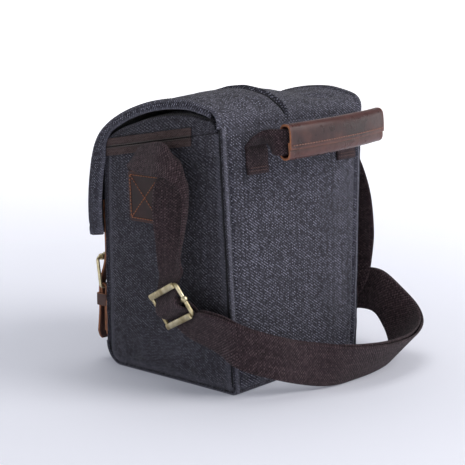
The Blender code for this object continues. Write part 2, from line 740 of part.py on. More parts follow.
def across_adjuster(path):
    """Edges of webbing that lies across the adjuster, from (run, out) points."""
    half = STRAP_WIDTH / 2 - 1.0
    return [(adjuster_point(-half, run, out), adjuster_point(half, run, out)) for run, out in path]


def make_strap(webbing, brass):
    """The shoulder strap: a long piece, the adjuster it threads, the ring at its loop and a short piece."""
    mesh = bmesh.new()
    rod_mesh(mesh, rounded_loop(ADJUSTER, ADJUSTER_BAR, ADJUSTER_RUN, 21.8, 14.2, 2.5, 3), 1.8, True, 8)
    add_object("adjuster_frame", mesh, brass, 50)
    bar = [adjuster_point(-19.6, 0, 0), adjuster_point(19.6, 0, 0)]
    rod("adjuster_centre_bar", bar, 1.5, brass, sides=8)
    over = across_adjuster([(-22, -5.2), (-14, -3.7), (-9, -1.2), (-5, 3.2), (0, 5.4), (5, 3.2), (8.6, -0.8),
                            (11, -2.8)])
    sewn = across_adjuster([(10, -7.2), (6, -5.6), (2.5, -4.0), (-1, -3.1), (-3, -1.0), (-2.7, 1.4), (0, 2.9),
                            (2.2, 2.0)])
    outer, turn, inner = loop_edges()
    start = across_adjuster([(12.6, -3.7)])
    band("strap_drop_right", RIGHT_DROP + over, WEBBING, webbing, steps=3, across=2)
    band("strap_loop", start + outer + turn + inner + sewn, WEBBING, webbing, steps=3, across=2)
    band("strap_drop_left", LEFT_DROP + ring_turn(1), WEBBING, webbing, steps=3, across=2)
    loop = rounded_loop(Vector(STRAP_RING), Vector((1, 0, 0)), Vector((0, 0, 1)), RING_HALF, 22.0, 3.5, 4)
    rod("strap_ring", loop, 2.0, brass, closed=True, sides=8)


def ring_turn(side):
    """Stations round one of the ring's upright bars, ending on its far side."""
    x, y, z = STRAP_RING
    centre = x + side * RING_HALF
    edges = []
    for angle in (60, 120, 180):
        turn = math.radians(angle)
        place = (centre + side * 3.5 * math.cos(turn), y - 3.5 * math.sin(turn))
        edges.append(((*place, z + 19.0), (*place, z - 19.0)))
    last = (centre - side * 3.5, y + 8.0)
    edges.append(((*last, z + 19.0), (*last, z - 19.0)))
    return edges


def loop_edges():
    """The doubled stretch: out along the outer layer, round the ring and back along the inner layer."""
    outer = [(Vector(low), Vector(high)) for low, high in LOOP_OUTER]
    count = len(outer)
    inner = []
    for index, (low, high) in enumerate(outer):
        before = outer[max(index - 1, 0)]
        after = outer[min(index + 1, count - 1)]
        along = (after[0] + after[1]) - (before[0] + before[1])
        normal = along.cross(high - low).normalized()
        step = LAYER_STEP + max(index - count + 4, 0) * (7.0 - LAYER_STEP) / 3
        inner.append((low - normal * step, high - normal * step))
    x, y, z = STRAP_RING
    turn = []
    for angle in (60, 120):
        bend = math.radians(angle)
        place = (x - RING_HALF - 3.5 * math.cos(bend), y - 3.5 * math.sin(bend))
        turn.append((Vector((*place, z - 19.0)), Vector((*place, z + 19.0))))
    return outer, turn, list(reversed(inner))


def main():
    clear_scene()
    canvas = make_material("canvas", (0.075, 0.075, 0.095), 0.9)
    webbing = make_material("webbing", (0.05, 0.032, 0.036), 0.85)
    leather = make_material("leather", (0.075, 0.035, 0.028), 0.45)
    brass = make_material("brass", (0.40, 0.33, 0.20), 0.35, 1.0)
    foam = make_material("foam", (0.10, 0.10, 0.11), 0.95)
    board = make_material("board", (0.03, 0.03, 0.03), 0.6)
    lining = make_material("lining", (0.06, 0.06, 0.065), 0.9)
    tape = make_material("zip_tape", (0.07, 0.045, 0.045), 0.8)
    make_body(canvas, leather)
    make_padding(foam, board, lining)
    make_dividers(lining)
    make_zip(tape, brass)
    make_lid(canvas, foam)
    make_flap(canvas, lining)
    make_closures(leather, brass)
    make_handle(webbing, leather)
    make_strap(webbing, brass)


main()
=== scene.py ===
import math

import bmesh
import bpy
import numpy as np
from mathutils import Matrix, Vector, noise


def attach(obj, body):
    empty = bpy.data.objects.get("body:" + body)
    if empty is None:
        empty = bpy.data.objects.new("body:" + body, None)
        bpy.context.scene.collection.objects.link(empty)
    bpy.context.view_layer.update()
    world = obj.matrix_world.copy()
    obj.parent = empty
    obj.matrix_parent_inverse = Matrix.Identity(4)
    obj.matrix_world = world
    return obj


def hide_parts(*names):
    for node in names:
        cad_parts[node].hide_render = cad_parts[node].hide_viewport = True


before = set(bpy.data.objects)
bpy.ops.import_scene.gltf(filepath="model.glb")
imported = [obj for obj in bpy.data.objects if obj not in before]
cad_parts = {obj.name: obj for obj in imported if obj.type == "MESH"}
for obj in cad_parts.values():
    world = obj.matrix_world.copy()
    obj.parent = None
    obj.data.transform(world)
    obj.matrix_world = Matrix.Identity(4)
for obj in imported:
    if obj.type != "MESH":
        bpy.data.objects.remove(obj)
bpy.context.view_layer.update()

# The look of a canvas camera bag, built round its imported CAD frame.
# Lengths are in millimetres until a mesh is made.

MM = 0.001
SIDES = ((1, "right"), (-1, "left"))

# Body, as in the CAD.
BACK_HEIGHT = 220.0
FRONT_HEIGHT = 194.4
FRONT_RIM_Y = -66.5
BASE_CORNER = 18.0
CORNER_Y = -57.0
CLOTH = 1.8
CLOTH_START = 1.2
FLAP_HALF = 97.4
LID_HALF = 93.3


def half_width(z):
    return 84.0 + 10.0 * z / BACK_HEIGHT


def back_y(z):
    return 75.0 - 6.3 * z / BACK_HEIGHT


def front_y(z):
    return -75.0 + 8.5 * max(z - BASE_CORNER, 0.0) / (FRONT_HEIGHT - BASE_CORNER)


def rim_z(y):
    return FRONT_HEIGHT + 22.6 / 135.2 * (y - FRONT_RIM_Y)


# Outlines from the side, as (y, z).
FLAP_OUTLINE = [
    (68.7, 220.3), (68.4, 225.5), (65.6, 231.5), (60.0, 235.5), (49.0, 238.5), (32.0, 241.0), (10.0, 240.0),
    (-8.0, 237.0), (-23.0, 232.8), (-37.0, 227.6), (-50.0, 221.2), (-61.0, 214.0), (-69.5, 206.0),
    (-75.0, 197.0), (-78.6, 187.0), (-81.2, 175.0), (-83.4, 160.0), (-84.5, 145.0), (-84.2, 130.0),
    (-82.4, 117.0),
]
LID_OUTLINE = [
    (62.9, 217.8), (61.4, 222.2), (56.6, 226.4), (48.0, 229.5), (32.0, 231.5), (12.0, 230.5), (-8.0, 227.4),
    (-28.0, 221.6), (-45.0, 214.0), (-56.5, 206.8), (-63.4, 201.4), (-66.2, 197.8), (-66.6, 194.9),
]
CLOSURE_STRAP = [
    (-79.3, 146.0), (-79.2, 135.0), (-78.2, 122.0), (-77.9, 111.0), (-77.8, 102.0), (-78.7, 93.0),
    (-81.3, 84.5), (-84.5, 76.0), (-86.3, 69.0), (-86.7, 61.0), (-86.6, 52.0), (-87.0, 43.0), (-88.0, 33.0),
    (-89.0, 24.0), (-89.3, 18.0),
]

# The shoulder strap, which repeats the CAD's route. Each station has the webbing's two edges, and the fold
# between them where it rolls over.
RIGHT_DROP = [
    ((92.1, 4, 141), (92.1, -34, 141)), ((92.97, 4, 160), (92.97, -34, 160)),
    ((93.6, 3, 176), (93.6, -34, 175)), ((96, -3, 189), (98, -20, 192), (98, -34, 182)),
    ((98, 2, 197), (103, -12, 203), (106, -20, 181)), ((101, 8, 200), (108, 6, 207), (113, 1, 180)),
    ((103, 14, 198), (111, 24, 207), (119.5, 20, 181)), ((104, 13, 184), (110, 40, 194), (120.5, 35, 180)),
    ((108, 8, 170), (107, 45, 177), (114.5, 42, 170)), ((113, 10.5, 150), (106, 45, 160), (113, 44, 155)),
    ((113, 13, 130), (107, 42, 140), (113.5, 42.5, 136)),
    ((112.5, 14.5, 115), (110, 40, 124), (115.5, 42, 122)),
    ((111.5, 15, 104), (111.5, 36, 111), (115.5, 43, 111)),
    ((109, 14, 95), (111.5, 30, 100.5), (114, 44, 104)),
]
LOOP_OUTER = [
    ((98.6, 27.5, 50), (108, 52.3, 70)), ((98.8, 35, 46.5), (109.3, 55, 71)),
    ((98, 43, 43.5), (110.8, 59.5, 72.4)), ((95.5, 52, 40.5), (110.6, 67, 72)),
    ((92, 65, 35), (105, 79, 69)), ((93, 81, 28), (100, 88, 65)), ((84, 94, 22), (89, 98, 59)),
    ((66, 106, 15), (71, 110, 52)), ((45, 112, 8), (50, 116, 45)), ((25, 118, 3), (30, 124, 40)),
    ((8, 122, 1), (16, 133, 37)), ((-14, 124, 1), (-6, 142, 34)), ((-42, 124, 1), (-38, 147, 31)),
    ((-72, 119, 1), (-76, 144, 30)), ((-94, 109, 2), (-108, 132, 34)), ((-109, 97, 10), (-126, 115, 42)),
    ((-115, 86, 21), (-128, 97, 55)), ((-118, 74, 32), (-123, 78, 70)), ((-121, 58, 33), (-122, 58, 71)),
    ((-124, 40, 29), (-124, 40, 67)), ((-125.4, 24, 27), (-125.4, 24, 65)),
    ((-125.5, 14, 27), (-125.5, 14, 65)),
]
LEFT_DROP = [
    ((-92.1, -34, 141), (-92.1, 4, 141)), ((-92.97, -34, 160), (-92.97, 4, 160)),
    ((-93.84, -34, 179), (-93.84, 4, 179)), ((-98, -30, 187), (-99, 7, 189)),
    ((-106, -20, 190), (-107, 18, 196)), ((-112, -4, 186), (-114, 33, 196)),
    ((-115, 12, 164), (-118, 49, 178)), ((-115, 26, 136), (-118, 63, 148)),
    ((-113, 34, 107), (-116, 70, 117)), ((-108, 34, 79), (-113, 72, 92)), ((-104, 28, 66), (-110, 67, 60)),
    ((-103, 26, 64.5), (-106, 46, 32)), ((-102.4, 22, 65), (-103, 26, 27)),
    ((-102.5, 14, 65), (-102.5, 14, 27)),
]
STRAP_RING = (-114.0, 14.0, 46.0)
RING_HALF = 8.0
ADJUSTER = Vector((109.5, 27.9, 73.1))
ADJUSTER_BAR = Vector((0.254, 0.865, 0.434)).normalized()
ADJUSTER_RUN = Vector((-0.205, 0.484, -0.8445))
LAYER_STEP = 3.4
WEBBING_THICKNESS = 2.0

# Buckled closures, whose bars are given as (y, z).
BUCKLE_X = 74.0
PATCH_Z = 41.0
BUCKLE_LOW = (-81.3, 67.5)
BUCKLE_HIGH = (-85.2, 94.0)

# Handle: its middle, its legs' distance from there, and its bowed leather grip.
HANDLE_X = -8.0
HANDLE_LEG = 61.0
HANDLE_HALF = [
    (14, -14, 71.5, 205.0, 205.0), (14.5, -11.5, 76.0, 209.5, 207.0), (14, -7, 81.5, 214.5, 204.5),
    (12, -1, 87.0, 218.5, 202.0), (9.5, 5, 92.3, 220.5, 201.0), (8, 7.5, 97.5, 221.3, 201.3),
    (5.5, 5.5, 101.3, 221.3, 201.3), (-1, -1, 103.8, 221.3, 201.3), (-18, -18, 106.0, 221.3, 201.3),
    (-40, -40, 107.5, 221.3, 201.3),
]
TAB_BOTTOM = 181.0
TAB_TOP = 204.0
GRIP_BOW_Y = 108.0
GRIP_Z = 211.3
GRIP_TILT = 0.035
GRIP_BOW = 4.8
GRIP_HALF = 64.0
GRIP_START = 64.5
GRIP_LENGTH = 126.5


# Camera, floor and light, in metres.

FLOOR_RADIUS = 60.0
FLOOR_RIM = 14.0


def make_camera():
    data = bpy.data.cameras.new("camera")
    data.sensor_width = 36.0
    data.lens = 100.645
    item = bpy.data.objects.new("camera", data)
    bpy.context.scene.collection.objects.link(item)
    right = Vector((-0.6554, 0.7553, 0.0))
    up = Vector((-0.1428, -0.1239, 0.9820))
    back = Vector((0.7417, 0.6436, 0.1891))
    turn = Matrix((right, up, back)).transposed()
    item.matrix_world = Matrix.Translation((0.8610, 0.7459, 0.3341)) @ turn.to_4x4()
    data.clip_start = 0.05
    data.clip_end = 60.0
    bpy.context.scene.camera = item


def area_light(name, place, size, power, colour):
    data = bpy.data.lights.new(name, "AREA")
    data.shape = "DISK"
    data.size = size
    data.energy = power
    data.color = colour
    item = bpy.data.objects.new(name, data)
    item.location = place
    item.rotation_euler = (Vector((0, 0, 0.1)) - Vector(place)).to_track_quat("-Z", "Y").to_euler()
    bpy.context.scene.collection.objects.link(item)


def make_studio():
    """Soft light from behind and above, and a pale floor that runs up to a far rim."""
    world = bpy.data.worlds.new("studio")
    world.use_nodes = True
    background = world.node_tree.nodes["Background"]
    background.inputs["Color"].default_value = (0.93, 0.95, 1.0, 1.0)
    background.inputs["Strength"].default_value = 0.31
    bpy.context.scene.world = world
    bpy.context.scene.view_settings.view_transform = "Standard"
    area_light("key", (-0.75, 1.55, 1.35), 1.5, 29.0, (1.0, 0.98, 0.97))
    area_light("top", (-0.2, -0.3, 1.9), 1.4, 13.0, (1.0, 0.99, 0.98))
    make_floor()


def make_floor():
    mesh = bmesh.new()
    bmesh.ops.create_circle(mesh, cap_ends=True, segments=96, radius=FLOOR_RADIUS)
    rim = bmesh.ops.extrude_edge_only(mesh, edges=list(mesh.edges))["geom"]
    for vertex in rim:
        if isinstance(vertex, bmesh.types.BMVert):
            vertex.co.z = FLOOR_RIM
    data = bpy.data.meshes.new("floor")
    mesh.to_mesh(data)
    mesh.free()
    floor = bpy.data.objects.new("floor", data)
    floor.location.z = -0.0004
    bpy.context.scene.collection.objects.link(floor)
    floor_material()
    data.materials.append(MATERIALS["floor"])


def floor_material():
    """Pale, and whiter with distance, with painted light: it glows by emission, dimly near the bag and more
    brightly further off, so that the background has no edge.
    """
    made = Shader("floor")
    place = made.node("ShaderNodeNewGeometry").outputs["Position"]
    distance = made.node("ShaderNodeVectorMath", operation="LENGTH")
    made.link(place, distance.inputs[0])
    reach = distance.outputs["Value"]
    # Painted shade and light: the base colour is darker near the bag and turns white far off.
    far = made.ramp(reach, [(0.25, (0.70, 0.71, 0.77)), (1.0, (0.80, 0.81, 0.86)), (2.6, (1, 1, 1))], 3.0)
    made.set("Base Color", far)
    # Painted light: an emission glow, dim near the bag and brighter with distance, though the floor is no
    # lamp.
    painted_floor_glow = made.ramp(reach, [(0.15, (0.09, 0.095, 0.115)), (0.5, (0.20, 0.205, 0.235)),
                             (1.1, (0.42, 0.42, 0.44)), (2.4, 0.75)], 3.0)
    made.set("Emission Color", painted_floor_glow)
    made.set("Emission Strength", 1.0)
    made.set("Roughness", 0.9)
    made.set("Specular IOR Level", 0.1)


# Materials.

THREAD_SCALE = 900.0
MATERIALS = {}


class Shader:
    """A named material and short ways to add nodes to it."""

    def __init__(self, name):
        self.material = bpy.data.materials.new(name)
        self.material.use_nodes = True
        self.tree = self.material.node_tree
        self.shader = self.tree.nodes["Principled BSDF"]
        MATERIALS[name] = self.material

    def node(self, kind, **settings):
        item = self.tree.nodes.new(kind)
        for key, value in settings.items():
            setattr(item, key, value)
        return item

    def link(self, source, target):
        self.tree.links.new(source, target)

    def set(self, name, value):
        """Give an input of the surface a number or another node's output."""
        if isinstance(value, (int, float)):
            self.shader.inputs[name].default_value = value
        else:
            self.link(value, self.shader.inputs[name])

    def place(self):
        return self.node("ShaderNodeTexCoord").outputs["Object"]

    def math(self, operation, *values):
        item = self.node("ShaderNodeMath", operation=operation)
        for index, value in enumerate(values):
            if isinstance(value, (int, float)):
                item.inputs[index].default_value = value
            else:
                self.link(value, item.inputs[index])
        return item.outputs[0]

    def times(self, first, second):
        return self.math("MULTIPLY", first, second)

    def plus(self, first, second):
        return self.math("ADD", first, second)

    def mix(self, share, first, second, blend="MIX"):
        item = self.node("ShaderNodeMix", data_type="RGBA", blend_type=blend)
        for socket, value in ((item.inputs[0], share), (item.inputs[6], first), (item.inputs[7], second)):
            if isinstance(value, (int, float)):
                socket.default_value = value
            elif isinstance(value, tuple):
                socket.default_value = (*value, 1.0)
            else:
                self.link(value, socket)
        return item.outputs[2]

    def ramp(self, factor, stops, span=1.0):
        item = self.node("ShaderNodeValToRGB")
        scaled = factor if span == 1.0 else self.math("DIVIDE", factor, span)
        self.link(scaled, item.inputs[0])
        elements = item.color_ramp.elements
        while len(elements) < len(stops):
            elements.new(0.5)
        for element, (place, colour) in zip(elements, stops):
            element.position = place / span
            element.color = (*colour, 1.0) if isinstance(colour, tuple) else (colour, colour, colour, 1.0)
        return item.outputs[0]

    def noise(self, vector, scale, detail=2.0, stretch=None):
        if stretch:
            item = self.node("ShaderNodeVectorMath", operation="MULTIPLY")
            self.link(vector, item.inputs[0])
            item.inputs[1].default_value = stretch
            vector = item.outputs[0]
        item = self.node("ShaderNodeTexNoise")
        item.inputs["Scale"].default_value = scale
        item.inputs["Detail"].default_value = detail
        self.link(vector, item.inputs["Vector"])
        return item.outputs["Fac"]

    def random(self, *values):
        combined = self.node("ShaderNodeCombineXYZ")
        for index, value in enumerate(values):
            if isinstance(value, (int, float)):
                combined.inputs[index].default_value = value
            else:
                self.link(value, combined.inputs[index])
        item = self.node("ShaderNodeTexWhiteNoise", noise_dimensions="3D")
        self.link(combined.outputs[0], item.inputs["Vector"])
        return item.outputs["Value"]

    def surface_uv(self, flat):
        """Two coordinates in metres along the surface: the mesh's own, or those of the box side it faces."""
        if not flat:
            parts = self.node("ShaderNodeSeparateXYZ")
            self.link(self.node("ShaderNodeUVMap").outputs[0], parts.inputs[0])
            return parts.outputs[0], parts.outputs[1]
        place = self.node("ShaderNodeSeparateXYZ")
        self.link(self.node("ShaderNodeTexCoord").outputs["Object"], place.inputs[0])
        normal = self.node("ShaderNodeSeparateXYZ")
        self.link(self.node("ShaderNodeNewGeometry").outputs["True Normal"], normal.inputs[0])
        x, y, z = [self.math("ABSOLUTE", normal.outputs[i]) for i in range(3)]
        on_x = self.math("GREATER_THAN", x, self.math("MAXIMUM", y, z))
        on_z = self.math("GREATER_THAN", z, self.math("MAXIMUM", x, y))
        u = self.plus(self.times(place.outputs[1], on_x),
                      self.times(place.outputs[0], self.math("SUBTRACT", 1.0, on_x)))
        v = self.plus(self.times(place.outputs[1], on_z),
                      self.times(place.outputs[2], self.math("SUBTRACT", 1.0, on_z)))
        return u, v

    def bump(self, height, distance, strength=1.0, then=None):
        item = self.node("ShaderNodeBump")
        item.inputs["Strength"].default_value = strength
        item.inputs["Distance"].default_value = distance
        self.link(height, item.inputs["Height"])
        if then is not None:
            self.link(then, item.inputs["Normal"])
        return item.outputs[0]


def woven(name, dark, mid, light, pitch, flecks=0.3, twill=3.0, flat=False, worn=None,
          relief=0.00025, slubs=0.0, long_cell=2.6):
    """Cloth of crossed threads: each thread has its own shade, single threads show lighter flecks, and the
    grooves between threads carry painted shade.
    """
    made = Shader(name)
    u, v = made.surface_uv(flat)
    across = made.math("DIVIDE", u, pitch[0] * MM)
    along = made.math("DIVIDE", v, pitch[1] * MM)
    column = made.math("FLOOR", across)
    row = made.math("FLOOR", along)
    turn = made.math("MODULO", made.plus(made.plus(column, row), 30000.0), twill)
    over = made.math("LESS_THAN", turn, 1.0)
    under = made.math("SUBTRACT", 1.0, over)
    ridge_u = made.math("SINE", made.times(made.math("FRACT", across), math.pi))
    ridge_v = made.math("SINE", made.times(made.math("FRACT", along), math.pi))
    height = made.plus(made.times(over, ridge_v), made.times(under, ridge_u))
    warp = made.random(column, made.math("FLOOR", made.math("DIVIDE", along, long_cell)), 3.0)
    weft = made.random(column, row, 7.0)
    streak = made.random(column, 0.0, 5.0)
    raised = made.plus(0.35, made.times(weft, 0.45))
    raised = made.plus(raised, made.times(streak, 0.2))
    shade = made.plus(made.times(under, made.times(warp, 0.55)),
                      made.times(over, raised))
    colour = made.ramp(shade, [(0.0, dark), (0.45, mid), (1.0 - flecks, mid), (1.0, light)])
    # Painted shade: the colour is darkened in the low grooves between threads.
    groove = made.ramp(height, [(0.0, 0.55), (0.55, 1.0)])
    colour = made.mix(0.8, colour, groove, "MULTIPLY")
    place = made.place()
    cloud = made.noise(place, 26.0, 4.0)
    colour = made.mix(0.55, colour, made.ramp(cloud, [(0.3, 0.72), (0.7, 1.2)]), "MULTIPLY")
    if slubs:
        line = made.noise(made.node("ShaderNodeUVMap").outputs[0], 1.0, 2.0, (700.0, 9.0, 1.0))
        colour = made.mix(slubs, colour, made.ramp(line, [(0.35, 0.75), (0.65, 1.3)]), "MULTIPLY")
    if worn:
        wear_and_highlight = made.node("ShaderNodeAttribute", attribute_name="wear_and_highlight").outputs["Fac"]
        rubbed = made.times(wear_and_highlight, made.plus(0.45, made.noise(place, 300.0, 2.0)))
        colour = made.mix(rubbed, colour, worn)
    made.set("Base Color", colour)
    made.set("Roughness", 0.92)
    made.set("Specular IOR Level", 0.22)
    made.set("Sheen Weight", 0.06)
    made.set("Sheen Roughness", 0.5)
    soft = made.bump(cloud, 0.002, 0.25)
    made.set("Normal", made.bump(height, relief, 0.9, soft))


def leather(name, deep, mid, high, rough=0.42):
    """Oiled leather: cloudy colour, pale scuffs, a fine grain and rubbed edges; where the wear mask holds a
    painted highlight, as on the grip's top, that turns pale too.
    """
    made = Shader(name)
    place = made.place()
    cloud = made.noise(place, 45.0, 5.0)
    colour = made.ramp(cloud, [(0.30, deep), (0.52, mid), (0.72, high)])
    scuff = made.noise(place, 420.0, 3.0, (1.0, 1.0, 0.25))
    colour = made.mix(made.ramp(scuff, [(0.60, 0.0), (0.78, 0.5)]), colour, high)
    # Paler where the wear mask is high: rubbed edges and ends, and on the grip also a painted highlight along
    # its top.
    wear_and_highlight = made.node("ShaderNodeAttribute", attribute_name="wear_and_highlight").outputs["Fac"]
    colour = made.mix(made.times(wear_and_highlight, 0.8), colour, tuple(min(c * 1.9, 1.0) for c in high))
    made.set("Base Color", colour)
    grain = made.node("ShaderNodeTexVoronoi", feature="DISTANCE_TO_EDGE")
    grain.inputs["Scale"].default_value = 1100.0
    made.link(place, grain.inputs["Vector"])
    creases = made.noise(place, 160.0, 4.0)
    made.set("Roughness", made.ramp(cloud, [(0.3, rough - 0.08), (0.7, rough + 0.14)]))
    soft = made.bump(creases, 0.0006, 0.5)
    made.set("Normal", made.bump(grain.outputs["Distance"], 0.0003, 0.35, soft))
    made.set("Specular IOR Level", 0.3)


def plain(name, colour, rough, spread=0.2, scale=160.0, relief=0.0):
    """A surface with slight changes of colour and roughness."""
    made = Shader(name)
    place = made.place()
    cloud = made.noise(place, scale, 4.0)
    low = tuple(c * (1 - spread) for c in colour)
    high = tuple(min(c * (1 + spread), 1.0) for c in colour)
    made.set("Base Color", made.ramp(cloud, [(0.3, low), (0.7, high)]))
    made.set("Roughness", made.ramp(cloud, [(0.3, rough * 0.8), (0.7, rough * 1.25)]))
    if relief:
        made.set("Normal", made.bump(cloud, relief, 0.6))


def brass():
    """Aged brass: dull pale yellow, darker in its stains, brighter where it is rubbed."""
    made = Shader("brass")
    place = made.place()
    stain = made.noise(place, 110.0, 4.0)
    colour = made.ramp(stain, [(0.28, (0.26, 0.20, 0.10)), (0.5, (0.50, 0.43, 0.26)),
                               (0.70, (0.70, 0.63, 0.43))])
    made.set("Base Color", colour)
    made.set("Roughness", made.ramp(stain, [(0.3, 0.52), (0.7, 0.26)]))
    scratch = made.noise(place, 900.0, 2.0, (1.0, 1.0, 0.2))
    made.set("Normal", made.bump(scratch, 0.0001, 0.4))
    made.set("Metallic", 1.0)


def make_materials():
    ink = ((0.0085, 0.0082, 0.0120), (0.035, 0.0341, 0.0485), (0.31, 0.31, 0.40))
    side_ink = ((0.012, 0.0115, 0.0150), (0.036, 0.0343, 0.0460), (0.185, 0.182, 0.225))
    brown = ((0.008, 0.0042, 0.0052), (0.030, 0.0172, 0.0212), (0.115, 0.073, 0.084))
    lining = ((0.03, 0.03, 0.033), (0.075, 0.073, 0.075), (0.15, 0.145, 0.14))
    tape = ((0.030, 0.019, 0.019), (0.080, 0.053, 0.053), (0.13, 0.09, 0.088))
    worn_cloth = {"flecks": 0.45, "long_cell": 3.0}
    woven("canvas", *ink, (1.25, 0.8), worn=(0.14, 0.14, 0.18), slubs=0.35, **worn_cloth)
    woven("canvas_side", *side_ink, (1.3, 0.85), worn=(0.12, 0.12, 0.155), **worn_cloth)
    woven("webbing", *brown, (1.5, 1.15), flecks=0.5, twill=2.0, relief=0.0005, long_cell=1.0)
    woven("tape", *tape, (0.7, 1.0), flecks=0.2)
    woven("lining", *lining, (0.7, 0.7), flat=True)
    woven("lining_uv", *lining, (0.7, 0.7))
    leather("leather", (0.020, 0.0085, 0.0065), (0.060, 0.027, 0.021), (0.115, 0.055, 0.040))
    leather("leather_dark", (0.012, 0.0055, 0.0056), (0.027, 0.013, 0.013), (0.048, 0.024, 0.022), 0.6)
    leather("leather_grip", (0.010, 0.003, 0.0036), (0.030, 0.010, 0.011), (0.088, 0.034, 0.027), 0.27)
    plain("cut_edge", (0.26, 0.10, 0.045), 0.7, spread=0.45, scale=300.0, relief=0.0004)
    plain("thread_tan", (0.28, 0.10, 0.045), 0.6, spread=0.35, scale=THREAD_SCALE)
    plain("thread_grip", (0.24, 0.115, 0.085), 0.5, spread=0.35, scale=THREAD_SCALE)
    # Painted shade: the seam tubes get the canvas darkened to 0.7, standing in for the shadow in the seam's
    # groove.
    woven("shaded_seam_cloth", *[tuple(c * 0.7 for c in shade) for shade in ink], (1.1, 0.8), flecks=0.4)
    plain("thread_grey", (0.036, 0.037, 0.05), 0.8, spread=0.3, scale=THREAD_SCALE)
    plain("thread_brown", (0.13, 0.075, 0.07), 0.8, spread=0.3, scale=THREAD_SCALE)
    # Painted shadow: a near-black material for tubes laid in the back seams' grooves and the flap's pleat,
    # standing in for their shade.
    plain("seam_shadow", (0.006, 0.006, 0.009), 0.95, spread=0.4, scale=THREAD_SCALE)
    brass()
    plain("foam", (0.10, 0.10, 0.11), 0.95, spread=0.15, scale=THREAD_SCALE, relief=0.0004)
    plain("board", (0.035, 0.034, 0.033), 0.6)
    plain("zip_coil", (0.022, 0.014, 0.013), 0.45, spread=0.3, scale=700.0)


# Mesh helpers, in millimetres.

def catmull(values, steps):
    """A smooth curve through vectors, with a number of steps between each two."""
    result = []
    last = len(values) - 1
    for index in range(last):
        before = values[max(index - 1, 0)]
        start = values[index]
        end = values[index + 1]
        after = values[min(index + 2, last)]
        for step in range(steps):
            t = step / steps
            point = 2 * start + (end - before) * t
            point += (2 * before - 5 * start + 4 * end - after) * t ** 2
            point += (3 * start - before - 3 * end + after) * t ** 3
            result.append(point * 0.5)
    result.append(values[last])
    return result


def resample(points, count):
    """Points at equal distances along a polyline, and its length."""
    lengths = path_lengths(points)
    total = lengths[-1]
    result = []
    index = 0
    for step in range(count):
        goal = total * step / (count - 1)
        while index < len(points) - 2 and lengths[index + 1] < goal:
            index += 1
        span = max(lengths[index + 1] - lengths[index], 1e-9)
        share = min(max((goal - lengths[index]) / span, 0.0), 1.0)
        result.append(points[index].lerp(points[index + 1], share))
    return result, total


def smoothed(points, steps, count):
    """Equally spaced vectors along the smooth curve through an outline, and its length."""
    return resample(catmull([Vector(p) for p in points], steps), count)


def path_lengths(points):
    lengths = [0.0]
    for a, b in zip(points, points[1:]):
        lengths.append(lengths[-1] + (b - a).length)
    return lengths


def offset_outline(points, shift):
    """Shift a (y, z) outline to its inner side."""
    result = []
    for index, point in enumerate(points):
        along = (points[min(index + 1, len(points) - 1)] - points[max(index - 1, 0)]).normalized()
        result.append(Vector((point.x - along.y * shift, point.y + along.x * shift)))
    return result


X_AXIS = Vector((1, 0, 0))
Y_AXIS = Vector((0, 1, 0))
Z_AXIS = Vector((0, 0, 1))


def finish_object(name, mesh, materials, body, replaced=(), smooth=50):
    """Turn a bmesh in millimetres into a piece that rides on a body; materials are names."""
    for vertex in mesh.verts:
        vertex.co *= MM
    data = bpy.data.meshes.new(name)
    mesh.to_mesh(data)
    mesh.free()
    for material in materials:
        data.materials.append(MATERIALS[material])
    data.shade_smooth()
    data.set_sharp_from_angle(angle=math.radians(smooth))
    item = bpy.data.objects.new(name, data)
    bpy.context.scene.collection.objects.link(item)
    if replaced:
        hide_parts(*replaced)
    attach(item, body)
    return item


def differences(array, axis, closed):
    if closed:
        return np.roll(array, -1, axis) - np.roll(array, 1, axis)
    return np.gradient(array, axis=axis)


def sheet_uv(array):
    """Lengths across each row from its middle, and along the middle column."""
    rows, columns = array.shape[:2]
    middle = columns // 2
    across = np.zeros((rows, columns))
    across[:, 1:] = np.cumsum(np.linalg.norm(np.diff(array, axis=1), axis=2), axis=1)
    across -= across[:, middle:middle + 1]
    along = np.zeros(rows)
    along[1:] = np.cumsum(np.linalg.norm(np.diff(array[:, middle], axis=0), axis=1))
    return np.stack([across, np.repeat(along[:, None], columns, 1)], 2)


